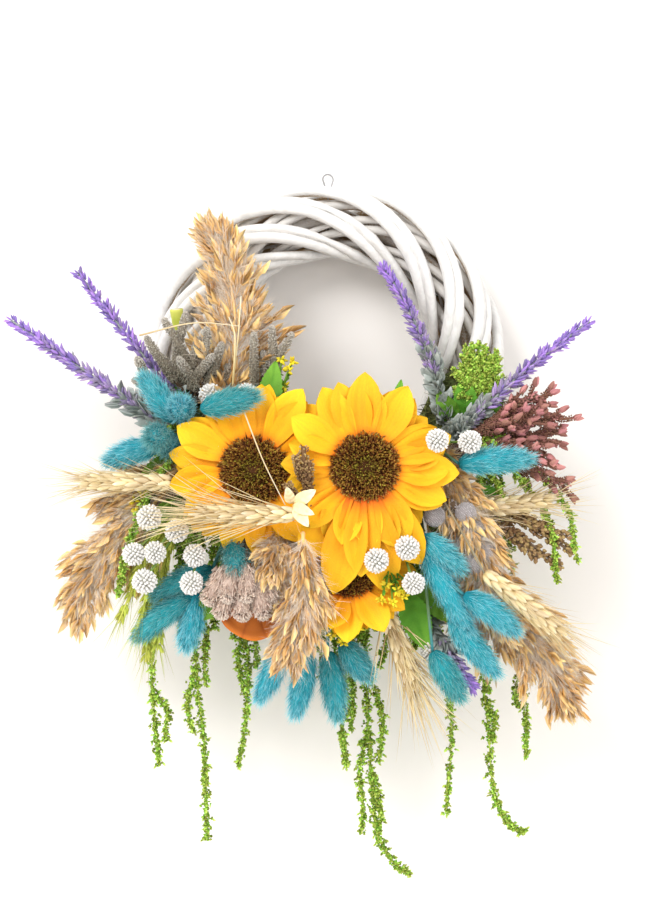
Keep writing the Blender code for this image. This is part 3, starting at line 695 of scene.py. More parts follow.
def petal(centre, facing, angle, inner, length, width, rise, droop, cup, twist, dice, shade=1.0):
    """One creased petal: points, faces, tint and the run of its veins."""
    rows, columns = 15, 11
    v = np.linspace(0, 1, rows)[:, None]
    u = np.linspace(-1, 1, columns)[None]
    outline = np.interp(
        v, (0, 0.1, 0.25, 0.45, 0.62, 0.78, 0.9, 0.97, 1.0),
        (0.40, 0.50, 0.74, 0.98, 1.0, 0.82, 0.50, 0.22, 0.03)
    )
    half = width * outline
    curl = dice.uniform(-1, 1, 3)
    out = inner + length * v + 0 * u
    sideways = half * u + 0.08 * width * curl[0] * np.sin(3 * v)
    lift = rise * v - droop * v * v + cup * half * u * u
    lift = lift + 0.0005 * np.cos(
        3 * np.pi * u + curl[1]
    ) * np.sin(np.pi * v) + 0.0012 * curl[2] * np.sin(5 * v) * u
    lift = lift - 0.0009 * np.exp(-(u / 0.12) ** 2) * np.sin(np.pi * v)
    roll = twist * v
    sideways, lift = sideways * np.cos(roll) - lift * np.sin(roll) * 0.3, lift + half * u * np.sin(roll)
    turn = math.radians(angle)
    ahead = math.cos(turn) * facing[0] + math.sin(turn) * facing[1]
    beside = -math.sin(turn) * facing[0] + math.cos(turn) * facing[1]
    points = centre + out[..., None] * ahead + sideways[..., None] * beside + lift[..., None] * facing[2]
    quads = grid_quads(rows, columns)
    tint = np.empty((rows, columns, 3))
    tint[..., 0] = v
    tint[..., 1] = dice.random()
    tint[..., 2] = shade
    run = np.empty((rows, columns, 3))
    run[..., 0] = u * 4 + curl[0]
    run[..., 1] = v * 0.8
    run[..., 2] = dice.random() * 50
    return (points.reshape(-1, 3), [quads], tint.reshape(-1, 3)), run.reshape(-1, 3)


def sunflower(name, base, route, tilt, turn, size, petals, extra, seed):
    """A flower at the end of its route. Extra petals are (angle, length, width, rise, droop)."""
    dice = np.random.default_rng(seed)
    centre = off(base, route[-1])[0]
    t, s = math.radians(tilt), math.radians(turn)
    facing = np.array(((1, 0, 0), (0, math.sin(t), math.cos(t)), (0, -math.cos(t), math.sin(t))))
    swing = np.array(((math.cos(s), math.sin(s), 0), (-math.sin(s), math.cos(s), 0), (0, 0, 1)))
    facing = facing @ swing
    parts, runs = [], []
    rings = [(0.0, 1.0, 1.0, -0.0008), (180 / petals, 0.95, 0.82, -0.0030)]
    for lag, reach, shade, back in rings:
        for number in range(petals):
            angle = 360 * number / petals + lag + dice.uniform(-4, 4)
            length = size * reach * dice.uniform(0.036, 0.042)
            part, run = petal(
                centre + back * facing[2], facing, angle, 0.016 * size, length,
                size * dice.uniform(0.0092, 0.0112), dice.uniform(0.001, 0.007),
                dice.uniform(-0.002, 0.010), dice.uniform(0.1, 0.4), dice.uniform(-0.4, 0.4), dice, shade
            )
            parts.append((*part, 0))
            runs.append(run)
    for angle, inner, length, width, rise, droop in extra:
        part, run = petal(
            centre + 0.001 * facing[2], facing, angle, inner, length, width, rise, droop, 0.25,
            dice.uniform(-0.3, 0.3), dice
        )
        parts.append((*part, 0))
        runs.append(run)
    flower = lay(
        name + "_petal_rings", parts, [petal_finish], stands_for=[name + "_petals"]
    )
    add_run(flower, np.vstack(runs))
    count = int(2300 * size)
    rank = (np.arange(count) + 0.5) / count
    spiral = np.arange(count) * GOLDEN_TURN
    reach = 0.0222 * size * np.sqrt(rank)
    dome = 0.0062 * (1 - rank ** 2.2) * size + 0.0002 - 0.002 * np.exp(-(rank / 0.05))
    out = np.cos(spiral)[:, None] * facing[0] + np.sin(spiral)[:, None] * facing[1]
    places = centre + out * reach[:, None] + dome[:, None] * facing[2] - 0.0012 * facing[2]
    aims = near(facing[2] + out * (0.25 + 0.75 * rank ** 2)[:, None], 0.22, dice)
    length = dice.uniform(0.0022, 0.0042, count)
    gold = (dice.random(count) < np.where(rank < 0.10, 0.9, np.where(rank < 0.3, 0.25, 0.12)))
    spike = blade((0.5, 1.0, 0.8, 0.25), 0.25, 0.3)
    plug = turned([(0, -0.1), (0.8, 0), (1, 0.12), (0.95, 0.3), (0.8, 0.6), (0.5, 0.85), (0, 0.95)], 28)
    discs = [
        (
            *scatter(
                plug, centre, facing[2], np.array((0.0216, 0.0216, 0.0058)) * size, dice, chance=0.5,
                along=0.15, shade=0.5
            ),
            0
        )
    ]
    for pick, chosen in ((0, ~gold), (1, gold)):
        discs.append((*scatter(spike, places[chosen], aims[chosen], strips(0.00055, length[chosen]),
                               dice, shade=0.55 + 0.45 * rank[chosen]), pick))
    lay(name + "_bristles", discs, [bristle, bristle_gold], stands_for=[name + "_disc"])
    stalk = smooth_path(off(base, [(0, 0, 0), *route[:-1], np.array(route[-1]) - (0, 0, 5)]), 14)
    cup = turned(
        [
            (0, -0.0085), (0.003, -0.008), (0.0085, -0.005), (0.0118, -0.0025), (0.0115, -0.0016),
            (0, -0.0012)
        ],
        16
    )
    back = [
        (*sweep(stalk, 0.0019, 8, chance=0.4), 0),
        (*scatter(cup, centre, facing[2], (1, 1, 1), dice, chance=0.5, along=0.4), 0)
    ]
    sepal = blade((0.6, 1.0, 0.8, 0.3, 0.02), 0.35, 0.3)
    for number in range(10):
        turn_to = math.tau * number / 10
        lie = math.cos(turn_to) * facing[0] + math.sin(turn_to) * facing[1]
        back.append(
            (
                *scatter(
                    sepal, centre + lie * 0.008 - 0.006 * facing[2], lie,
                    np.array((0.0035, 0.004, 0.022)) * size, dice
                ),
                0
            )
        )
    lay(name + "_cup_and_stem", back, [stem_green], stands_for=[name + "_stem"])


sunflower(
    "sunflower_right", foot(288, 0.795), [(0, 0, 60)], 0, 0, 1.0, 13,
    [
        (90, 0.016, 0.046, 0.0115, 0.004, 0.002), (62, 0.016, 0.044, 0.0115, 0.003, 0.003),
        (118, 0.016, 0.043, 0.011, 0.003, 0.0), (20, 0.016, 0.044, 0.011, 0.002, 0.004),
        (-4, 0.016, 0.046, 0.0115, 0.002, 0.004), (146, 0.018, 0.040, 0.011, 0.006, 0.0),
        (-22, 0.018, 0.040, 0.010, 0.002, 0.005), (-60, 0.018, 0.056, 0.0135, 0.003, 0.010),
        (-104, 0.018, 0.068, 0.0145, 0.007, 0.012), (-124, 0.018, 0.056, 0.0130, 0.005, 0.012),
        (-80, 0.018, 0.066, 0.0140, 0.004, 0.013), (-92, 0.018, 0.054, 0.0125, 0.009, 0.010)
    ],
    11
)
sunflower(
    "sunflower_left", foot(237, 0.93), [(0, 0, 50)], 0, -5, 1.0, 13,
    [
        (84, 0.017, 0.040, 0.0115, 0.003, 0.0), (58, 0.017, 0.046, 0.0115, 0.006, 0.002),
        (118, 0.017, 0.038, 0.011, 0.003, 0.002), (150, 0.017, 0.042, 0.011, 0.002, 0.003),
        (190, 0.017, 0.040, 0.011, 0.002, 0.004), (215, 0.017, 0.040, 0.0105, 0.002, 0.004)
    ],
    12
)
sunflower(
    "sunflower_low", foot(274, 1.145), [(0, 0, 22), (2, -12, 27), (5, -34, 42)], 26, 0, 0.8, 12,
    [
        (-90, 0.014, 0.036, 0.0105, 0.008, 0.004), (-60, 0.014, 0.034, 0.0105, 0.007, 0.004),
        (-130, 0.014, 0.040, 0.0105, 0.004, 0.004), (-105, 0.014, 0.030, 0.010, 0.010, 0.0)
    ],
    13
)


# ---------------------------------------------------------------- lavender
# Stems of lavender with silver-green leaves low down and whorls of small violet buds
# above. Each bud is a ribbed cup with a paler floret at its mouth.

leaf_silver = plant(
    "lavender_leaf", (0.22, 0.27, 0.22), (0.38, 0.43, 0.40), (0.58, 0.62, 0.59), scale=500, rough=0.85,
    sheen=0.2
)
bud_violet = plant(
    "lavender_bud", (0.40, 0.43, 0.42), (0.42, 0.34, 0.55), (0.40, 0.25, 0.74), low=0.35, high=0.42,
    variation=0.6, scale=600, rough=0.85, sheen=0.2
)
BUD = turned([(0, 0), (0.40, 0.12), (0.5, 0.42), (0.26, 0.8), (0, 1)], 5)


def lavender(name, path, leafy, full, seed, broad=0.11, stands_for=None):
    """A stem whose first share carries leaves, and whose rest is crowded with buds."""
    dice = np.random.default_rng(seed)
    length = np.linalg.norm(np.diff(path, axis=0), axis=1).sum()
    parts = [(*sweep(path, np.linspace(0.0014, 0.0007, len(path)), 6, chance=0.3, along=(0, 0.5)), 0)]
    places, out, forward, share = on_path(
        path, 0.0008, int((leafy + 0.1) * length * 2300), dice, span=(0.04, leafy + 0.14)
    )
    size = dice.uniform(0.009, 0.016, len(places)) * (0.13 / (0.05 + broad)) ** 0.4
    parts.append(
        (
            *scatter(
                blade((0.5, 1, 0.85, 0.15), 0.2, 0.4), places, near(out * 0.75 + forward, 0.15, dice),
                strips(size * broad, size), dice
            ),
            0
        )
    )
    count = int((1 - leafy) * length * 4300)
    places, out, forward, share = on_path(path, 0.0012, count, dice, span=(leafy, 1.0))
    rise = (share - leafy) / (1 - leafy)
    swell = full * (0.62 + 0.38 * np.sin(np.pi * np.clip(0.25 + 0.72 * rise, 0, 1)))
    size = np.stack([0.0024 * swell] * 2 + [dice.uniform(0.0055, 0.0092, count) * swell], 1)
    aims = near(out * (0.85 - 0.35 * rise[:, None]) + forward * 0.8, 0.16, dice)
    parts.append(
        (
            *scatter(
                BUD, places, aims, size, dice,
                along=np.clip(0.25 + 0.95 * rise + 0.22 * dice.normal(size=count), 0, 1),
                shade=dice.uniform(0.65, 1, count)
            ),
            1
        )
    )
    lay(
        name + "_sprig", parts, [leaf_silver, bud_violet],
        stands_for=[name] if stands_for is None else stands_for
    )


lavender(
    "lavender_left_low",
    smooth_path(
        off(
            foot(205, 1.15),
            [(0, 0, 0), (0, 0, 6), (-14, 4, 10), (-50, 29, 12), (-84, 52, 11), (-114, 73, 10)]
        ),
        60
    ),
    0.40, 1.0, 41
)
lavender(
    "lavender_left_high",
    smooth_path(
        off(foot(192, 1.10), [(0, 0, 0), (0, 0, 6), (-8, 8, 10), (-37, 44, 11), (-65, 80, 12)]), 50
    ),
    0.16, 1.0, 42
)
lavender(
    "lavender_right_low",
    smooth_path(off(foot(330, 1.03), [(0, 0, 0), (0, 0, 20), (7, 6, 24), (48, 43, 24), (89, 74, 24)]), 50),
    0.46, 1.0, 43, 0.24
)
lavender(
    "lavender_right_high",
    smooth_path(
        off(
            foot(333, 0.92),
            [
                (0, 0, 0), (0, 0, 6), (-2, 10, 8), (-6, 24, 8), (-12, 44, 8), (-20, 64, 8), (-30, 84, 8),
                (-43, 103, 8)
            ]
        ),
        60
    ),
    0.46, 1.0, 44, 0.24
)


# ---------------------------------------------------------------- pampas and reed plumes
# Dried reed plumes. Fine twigs leave the stalk and each carries papery husks and silky
# hairs, golden at the husk and pale at the hair ends.

husk = plant(
    "reed_husk", (0.80, 0.50, 0.20), (0.98, 0.66, 0.28), (1.0, 0.76, 0.38), variation=0.3, scale=500,
    rough=0.7
)
silk = plant(
    "reed_silk", (0.86, 0.70, 0.54), (0.95, 0.82, 0.68), (1.0, 0.92, 0.82), variation=0.3, scale=500,
    rough=0.7, sheen=0.2
)
HUSK = blade((0.35, 1.0, 0.7, 0.10), 0.12, 0.35)


def plume(name, steps, base, radii, squash, twigs, seed, sag=0.25, stands_for=None):
    """A reed plume along its stalk. The radii in mm say how far its twigs spread."""
    dice = np.random.default_rng(seed)
    path = smooth_path(off(base, [(0, 0, 0), *steps]), 60)
    full = np.interp(np.linspace(0, 1, 60), np.linspace(0, 1, len(radii)), radii) * 0.001
    ahead = carried_frames(path)[0]
    parts = [(*sweep(path, np.linspace(0.0017, 0.0005, 60), 6, chance=0.5), 0)]
    husks, husk_aims, hairs, hair_aims = [], [], [], []
    begins = np.argmax(full > 0.004) / 60
    for number in range(twigs):
        share = begins + (0.99 - begins) * (number + dice.random()) / twigs
        at = min(int(share * 59), 58)
        turn = dice.uniform(0, 2 * np.pi)
        beside = unit_rows(np.cross(ahead[at], (0, 1.0, 0)))
        out = np.array(
            (0, -squash * np.cos(turn), 0)
        ) + np.sign(np.sin(turn)) * abs(np.sin(turn)) ** 0.5 * beside
        reach = max(full[at], 0.003) * dice.uniform(0.2, 1.0)
        run = dice.uniform(0.014, 0.030) * (0.6 + 0.4 * full[at] / full.max())
        t = np.linspace(0, 1, 7)[:, None]
        twig = path[at] + out * reach * t ** 0.85 + ahead[at] * run * t + np.array(
            (0, 0, -1)
        ) * sag * reach * t * t
        twig = twig + dice.normal(size=3) * 0.002 * t
        parts.append((*sweep(twig, np.linspace(0.00035, 0.00015, 7), 3, chance=dice.random()), 0))
        spot = np.sort(dice.uniform(0.3, 6, 72))[::-1]
        low = spot.astype(int).clip(0, 5)
        place = twig[low] + (twig[low + 1] - twig[low]) * (spot - low)[:, None]
        aim = unit_rows(twig[low + 1] - twig[low])
        husks.append(place[:30:4])
        husk_aims.append(near(aim[:30:4], 0.20, dice))
        hairs.append(place)
        hair_aims.append(near(aim, 0.40, dice))
    husks, husk_aims, hairs, hair_aims = map(np.vstack, (husks, husk_aims, hairs, hair_aims))
    husk_aims, hair_aims = husk_aims * (1, 0.5, 1), hair_aims * (1, 0.5, 1)
    size = dice.uniform(0.006, 0.014, len(husks))
    parts.append(
        (
            *scatter(
                HUSK, husks, husk_aims, strips(size * 0.028, size), dice,
                shade=dice.uniform(0.9, 1, len(husks))
            ),
            0
        )
    )
    size = dice.uniform(0.008, 0.017, len(hairs))
    parts.append(
        (
            *scatter(
                HAIR, hairs, hair_aims, strips(0.00011, size), dice, shade=dice.uniform(0.9, 1, len(hairs))
            ),
            1
        )
    )
    return lay(
        name + "_plume", parts, [husk, silk], stands_for=[name] if stands_for is None else stands_for,
    )


plume(
    "pampas_top",
    [(0, 0, 6), (2, 12, 11), (5, 30, 11), (7, 52, 11), (4, 78, 11), (0, 96, 11), (-5, 106, 11)],
    foot(203, 0.78), (2, 14, 38, 36, 24, 15, 10, 3), 0.30, 150, 51, 0.0
)
plume(
    "pampas_left",
    [(0, 0, 20), (-8, -10, 25), (-36, -32, 25), (-58, -54, 25), (-76, -74, 25), (-92, -104, 25)],
    foot(219, 1.0), (1, 6, 26, 30, 26, 18, 6), 0.18, 170, 52
)
plume(
    "pampas_right",
    [
        (0, 0, 24), (6, -16, 28), (18, -58, 28), (34, -86, 28), (52, -106, 28), (72, -128, 28),
        (86, -152, 28)
    ],
    foot(315, 1.04), (1, 3, 16, 32, 36, 30, 20, 4), 0.30, 200, 53
)
plume(
    "pampas_centre", [(0, 0, 58), (0, -2, 69), (1, -26, 70), (1, -42, 70), (-2, -54, 70), (-6, -66, 70)],
    foot(262, 1.215), (0, 0, 3, 12, 16, 15, 10, 4), 0.26, 90, 54
)


# ---------------------------------------------------------------- wheat
# Ears of bearded wheat: plump grains in their husks, two rows and a front row, each with
# a long stiff awn.

straw = plant(
    "wheat_straw", (0.66, 0.48, 0.22), (0.88, 0.72, 0.43), (0.96, 0.87, 0.64), variation=0.3, scale=400,
    rough=0.6
)
GRAIN = turned([(0, 0), (0.30, 0.06), (0.5, 0.35), (0.40, 0.68), (0.16, 0.9), (0, 1)], 7)
AWN = turned([(0, 0), (1, 0.01), (0.7, 0.5), (0, 1)], 3)


def rods(width, length):
    """Sizes for round shapes of a width and a length each."""
    return np.stack([np.broadcast_to(width, length.shape)] * 2 + [length], 1)


def wheat(name, base, route, tip, seed, rows=13, beard=0.052, spread=0.16, stiff=0.00034):
    dice = np.random.default_rng(seed)
    knots = off(base, [(0, 0, 0), *route])
    stalk = smooth_path(knots, 16)
    root, end = knots[-1], off(base, tip)[0]
    ear = root + (end - root) * np.linspace(0, 1, 24)[:, None]
    ahead, side, lift = carried_frames(ear)
    parts = [
        (*sweep(stalk, 0.0008, 6, chance=0.2, shade=0.1), 0),
        (*sweep(ear, np.linspace(0.0013, 0.0006, 24), 6, chance=0.5), 0)
    ]
    places, aims, sizes, tips = [], [], [], []
    for row in range(rows):
        share = 0.04 + 0.86 * row / rows
        at = min(int(share * 23), 22)
        swell = 0.72 + 0.35 * math.sin(math.pi * min(1, 0.15 + share))
        for turn in (0, 1, 2, 3):
            bearing = math.pi / 2 * turn + (0.35 if row % 2 else -0.35)
            out = math.cos(bearing) * side[at] * 0.8 + math.sin(bearing) * lift[at]
            place = ear[at] + out * 0.0014
            aim = near(out * 0.42 + ahead[at], 0.05, dice)
            places.append(place)
            aims.append(aim)
            sizes.append((0.0046 * swell, 0.0046 * swell, 0.0118 * swell))
            tips.append(place + aim * 0.0108 * swell)
    places, aims, sizes, tips = map(np.array, (places, aims, sizes, tips))
    parts.append((*scatter(GRAIN, places, aims, sizes, dice, shade=dice.uniform(0.85, 1, len(places))), 0))
    tips, aims = np.vstack([tips, tips - aims * 0.003]), np.vstack([aims, aims])
    beards = unit_rows(
        ahead[0] * 1.0 + (aims - ahead[0]) * 0.6 + spread * dice.normal(size=aims.shape) * (1, 0.15, 1)
    )
    length = beard * dice.uniform(0.55, 1.1, len(tips))
    parts.append((*scatter(AWN, tips, beards, rods(stiff, length), dice), 0))
    lay(name + "_ear", parts, [straw], stands_for=[name])


wheat(
    "wheat_left_back", foot(216, 1.08), [(0, 0, 36), (-10, -16, 41), (-18, -22, 42)], (-84, -22, 42), 61,
    beard=0.036
)
wheat(
    "wheat_left_front", foot(263.5, 1.16), [(0, 0, 66), (-2, 5, 73), (-8, 8, 74)], (-78, 8, 74), 62,
    beard=0.062, stiff=0.00040
)
wheat(
    "wheat_right", foot(319, 1.14), [(0, 0, 27), (0, -20, 30), (2, -31, 30.5)], (72, -22, 30.5), 63,
    beard=0.040
)
wheat(
    "wheat_right_low", foot(308.4, 1.248), [(0, 0, 50), (15, -26, 56), (27, -48, 56)], (83, -92, 56), 64,
    beard=0.036
)
wheat(
    "wheat_low", foot(280, 1.235), [(0, 0, 24), (10, -30, 31), (17, -48, 36)], (38, -106, 44), 65,
    beard=0.056, spread=0.22, stiff=0.00046
)


# ---------------------------------------------------------------- bunny tails
# Dyed bunny-tail grass: soft egg-shaped heads of fine teal hair on thin stems, wired in
# small bunches.

tail_hair = plant(
    "dyed_tail_hair", (0.012, 0.26, 0.31), (0.045, 0.48, 0.55), (0.36, 0.80, 0.84), low=0.3, high=0.25,
    variation=0.55, scale=500, rough=0.8, sheen=0.35
)
tail_skin = plant(
    "dyed_tail_skin", (0.010, 0.24, 0.30), (0.030, 0.42, 0.50), (0.06, 0.50, 0.60), variation=0.2,
    mottle=0.8, scale=1200, rough=0.9, bump=0.6
)
tail_stem = plant(
    "dyed_stem", (0.10, 0.16, 0.06), (0.14, 0.24, 0.12), (0.05, 0.25, 0.28), scale=300, rough=0.7
)


def bound_stems(base, binding, routes, finish, radius=0.0011):
    """The bound stalk of a bunch and the stems that leave it."""
    parts = [
        (
            *sweep(off(base, [(0, 0, 0), (0, 0, binding * 0.5), (0, 0, binding)]), 0.0024, 8, chance=0.5),
            finish
        )
    ]
    for number, route in enumerate(routes):
        start = (0, 0, binding * (0.3 + 0.55 * number / len(routes)))
        parts.append(
            (
                *sweep(smooth_path(off(base, [start, *route]), 14), radius, 6, chance=(number * 0.37) % 1),
                finish
            )
        )
    return parts


def bunny_tails(name, base, binding, members, seed):
    dice = np.random.default_rng(seed)
    parts = bound_stems(base, binding, [route for route, tip in members], 2)
    for route, tip in members:
        root, end = off(base, [route[-1], tip])
        bow = near(end - root, 0.08, dice) * np.linalg.norm(end - root)
        head = smooth_path([root, (root + end) / 2 + (bow - (end - root)) * 0.3, end], 16)
        radii = 0.0086 * np.interp(
            np.linspace(0, 1, 16), (0, 0.08, 0.25, 0.5, 0.75, 0.9, 1),
            (0.35, 0.68, 0.95, 1.0, 0.84, 0.52, 0.12)
        )
        tone = dice.random()
        parts.append((*sweep(head, radii * 0.86, 12, chance=tone), 1))
        places, out, forward, share = on_path(head, radii * 0.82, 1500, dice)
        length = dice.uniform(0.0045, 0.0085, len(places))
        aims = near(out * (0.5 - 0.1 * share[:, None]) + forward * (0.75 + 0.5 * share[:, None]), 0.14, dice)
        parts.append(
            (
                *scatter(
                    HAIR, places, aims, strips(0.00016, length), dice,
                    chance=np.clip(tone + dice.normal(size=len(places)) * 0.25, 0, 1),
                    shade=dice.uniform(0.7, 1, len(places))
                ),
                0
            )
        )
    lay(name + "_heads", parts, [tail_hair, tail_skin, tail_stem], stands_for=[name])


bunny_tails(
    "bunny_tails_left_top", foot(207, 1.03), 30,
    [
        ([(-12, 2, 34)], (-34, 32, 34)), ([(-6, 9, 32)], (-8, 13, 54)), ([(-20, -6, 38)], (-26, -10, 58)),
        ([(5, 8, 40), (6, 10, 58)], (42, 18, 64)), ([(-12, -10, 30)], (-17, -15, 42)),
        ([(-24, -14, 34)], (-58, -24, 34))
    ],
    71
)
bunny_tails(
    "bunny_tails_left_low", foot(233, 1.08), 28,
    [
        ([(-4, -30, 34), (-14, -58, 36)], (-52, -76, 36)),
        ([(-10, -50, 34), (-26, -76, 36)], (-64, -104, 36)),
        ([(-8, -56, 34), (-24, -74, 36)], (-32, -110, 36)), ([(0, -40, 34)], (2, -56, 62)),
        ([(8, -44, 30)], (10, -66, 50))
    ],
    72
)
bunny_tails("bunny_tails_bottom", foot(268, 1.165), 22, [
    ([(-4, -40, 27), (-20, -74, 30)], (-42, -116, 32)), ([(-3, -46, 27), (-10, -82, 30)], (-18, -126, 34)),
    ([(2, -46, 27), (4, -84, 31)], (10, -128, 36)), ([(4, -44, 27), (13, -78, 31)], (31, -100, 38)),
], 73)
bunny_tails(
    "bunny_tails_right", foot(302, 1.18), 44,
    [
        ([(0, -22, 52)], (26, -44, 54)), ([(2, -30, 52)], (32, -84, 56)),
        ([(6, -40, 52), (28, -60, 58)], (62, -84, 60)), ([(8, -56, 50), (20, -74, 50)], (50, -112, 52)),
        ([(4, -60, 50), (8, -98, 50)], (26, -128, 50))
    ],
    74
)
bunny_tails(
    "bunny_tail_right_top", foot(320.5, 0.93), 44, [([(8, -8, 50), (16, -14, 54)], (63, -11, 54))], 75
)


# ---------------------------------------------------------------- white button flowers
# Tight white balls of rounded petals on thin green stems.

button_white = plant(
    "button_petal", (0.52, 0.55, 0.40), (0.80, 0.79, 0.76), (0.92, 0.91, 0.89), low=0.5, high=0.6,
    variation=0.12, mottle=0.15, scale=700, rough=0.75
)
BALL = [(0, -1), (0.7, -0.7), (1, 0), (0.7, 0.7), (0, 1)]
PETAL_BEAD = turned([(0, 0), (0.30, 0.2), (0.5, 0.62), (0.36, 0.92), (0, 1)], 6)


def ball_points(count):
    rank = np.arange(count) + 0.5
    polar = np.arccos(1 - 2 * rank / count)
    turn = rank * GOLDEN_TURN
    return np.stack([np.sin(polar) * np.cos(turn), np.sin(polar) * np.sin(turn), np.cos(polar)], 1)


def button_flowers(name, base, binding, heads, seed):
    """Heads as (route, centre)."""
    dice = np.random.default_rng(seed)
    parts = bound_stems(base, binding, [[*route, middle] for route, middle in heads], 1, 0.0009)
    for route, middle in heads:
        centre = off(base, middle)[0]
        rays = ball_points(112)
        size = 0.0080 * dice.uniform(0.94, 1.06)
        core = ball_points(60)
        parts.append(
            (*scatter(turned(BALL, 12), centre, (0, -1, 0), np.full(3, size * 0.60), dice, along=0.35), 0)
        )
        length = size * dice.uniform(0.52, 0.64, len(rays))
        parts.append((*scatter(PETAL_BEAD, centre + rays * size * 0.44, near(rays, 0.06, dice),
                               rods(size * 0.245, length), dice), 0))
        parts.append(
            (
                *scatter(
                    blade((0.5, 1, 0.6, 0.05), 0.4), centre + np.array((0, 0.004, 0)) + 0.003 * core[:8],
                    near(core[:8] + (0, 0.9, 0), 0.2, dice), (0.0010, 0.004, 0.006), dice
                ),
                1
            )
        )
    lay(name + "_balls", parts, [button_white, stem_green], stands_for=[name])


button_flowers(
    "button_flowers_left_top", foot(210, 0.87), 14,
    [([], (-6, 17, 25)), ([], (19, 17, 27)), ([], (-7, -9, 25))], 81
)
button_flowers(
    "button_flowers_left", foot(225, 1.10), 34,
    [
        ([], spot)
        for spot in (
            (-42, -31, 56), (-24, -40, 56), (-12, -56, 57), (-52, -55, 56), (-38, -54, 58), (-45, -73, 56),
            (-14, -74, 58)
        )
    ],
    82
)
button_flowers("button_flowers_right_top", foot(324, 1.0), 48, [([], (-8, 1, 72)), ([], (14, 0, 60))], 83)
button_flowers(
    "button_flowers_right_low", foot(292, 1.19), 34,
    [([], spot) for spot in ((8, -19, 65), (-12, -27, 68), (12, -42, 66), (26, -90, 34))], 84
)


# ---------------------------------------------------------------- brunia
# Dried brunia in three kinds: knobbly grey fingers, smooth silver balls and red-brown
# sprays with pink ends. They and the brown catkins are bound on woody stems.

finger_grey = plant(
    "brunia_scale", (0.20, 0.17, 0.12), (0.36, 0.32, 0.25), (0.56, 0.52, 0.46), variation=0.5, scale=600,
    rough=0.9
)
woody = plant(
    "woody_stem", (0.10, 0.06, 0.035), (0.18, 0.12, 0.075), (0.26, 0.18, 0.12), scale=500, rough=0.85,
    bump=0.6
)
silver = plant(
    "silver_ball", (0.42, 0.385, 0.385), (0.56, 0.515, 0.52), (0.72, 0.68, 0.69), variation=0.3, mottle=0.3,
    scale=900, rough=0.85, sheen=0.3
)
red_scale = plant(
    "red_spray_scale", (0.16, 0.08, 0.05), (0.27, 0.13, 0.09), (0.64, 0.27, 0.27), low=0.5, high=0.82,
    variation=0.4, scale=600, rough=0.85
)
SCALE = turned([(0, 0), (0.5, 0.3), (0.34, 0.8), (0, 1)], 4)


def knobbly(path, radii, count, size, lean, dice, pick, span=(0, 1), shade=1.0):
    """Small scales all over a bar."""
    places, out, forward, share = on_path(path, radii, count, dice, span=span)
    grown = size * dice.uniform(0.8, 1.25, count)
    return (
        *scatter(
            SCALE, places, near(out + forward * lean, 0.2, dice), rods(grown, grown * 1.3), dice,
            along=0.25 + 0.75 * share, shade=shade
        ),
        pick
    )


def brunia_fingers(name, base, binding, tips, seed):
    dice = np.random.default_rng(seed)
    parts = []
    for number, tip in enumerate(tips):
        start = np.array((0, 0, binding * 0.5))
        tip = np.array(tip, float)
        middle = start + (tip - start) * 0.5 + (9 * math.sin(number * 2.3), -3, 3 * math.cos(number * 1.7))
        path = smooth_path(off(base, [start, middle, tip]), 30)
        parts.append((*sweep(path, 0.0012, 6, chance=0.5), 1))
        head = path[11:]
        radii = 0.0024 * np.interp(
            np.linspace(0, 1, len(head)), (0, 0.12, 0.6, 0.92, 1), (0.6, 0.9, 1.0, 0.9, 0.5)
        )
        parts.append((*sweep(head, radii, 10, chance=0.3, along=(0, 0.4)), 0))
        parts.append(knobbly(head, radii * 0.96, 520, 0.00105, 0.5, dice, 0))
        knob = ball_points(40)
        parts.append(
            (*scatter(SCALE, head[-1] + knob * 0.0013, knob, np.full(3, 0.0012), dice, along=0.9), 0)
        )
    lay(name + "_fingers", parts, [finger_grey, woody], stands_for=[name])


brunia_fingers(
    "brunia_fingers_left", foot(198, 0.99), 14,
    [
        (-30, 42, 27), (-18, 54, 28), (-4, 58, 28), (10, 48, 27), (20, 38, 28), (-36, 28, 30),
        (-24, 32, 22), (4, 42, 20), (-11, 40, 19), (24, 24, 18), (14, 30, 30), (-38, 14, 30), (-8, 28, 32)
    ],
    91
)
brunia_fingers(
    "brunia_fingers_right", foot(229, 0.78), 22,
    [(0, 72, 28), (12, 76, 28), (25, 72, 28), (6, 60, 22), (18, 62, 22)], 92
)


def brunia_silver(name, base, binding, tips, seed):
    dice = np.random.default_rng(seed)
    parts = []
    for tip in tips:
        path = smooth_path(off(base, [(0, 0, binding * 0.5), np.array(tip) * (0.5, 0.45, 0.9), tip]), 16)
        parts.append((*sweep(path, np.linspace(0.0016, 0.0026, 16), 8, chance=0.5), 1))
        parts.append(knobbly(path, 0.0018, 90, 0.0011, 0.7, dice, 0))
        centre = path[-1]
        rays = ball_points(420)
        parts.append((*scatter(turned(BALL, 14), centre, (0, -1, 0), np.full(3, 0.0064), dice, along=0.3), 0))
        parts.append(
            (
                *scatter(
                    SCALE, centre + rays * 0.0064, rays, (0.0011, 0.0011, 0.0010), dice,
                    along=dice.uniform(0.4, 1, len(rays))
                ),
                0
            )
        )
    lay(name + "_balls", parts, [silver, woody], stands_for=[name])


brunia_silver(
    "brunia_silver", foot(306, 1.12), 40,
    [(6, -18, 46), (27, -16, 44), (33, -28, 42), (41, -42, 40), (21, -36, 38), (32, -50, 42)], 93
)


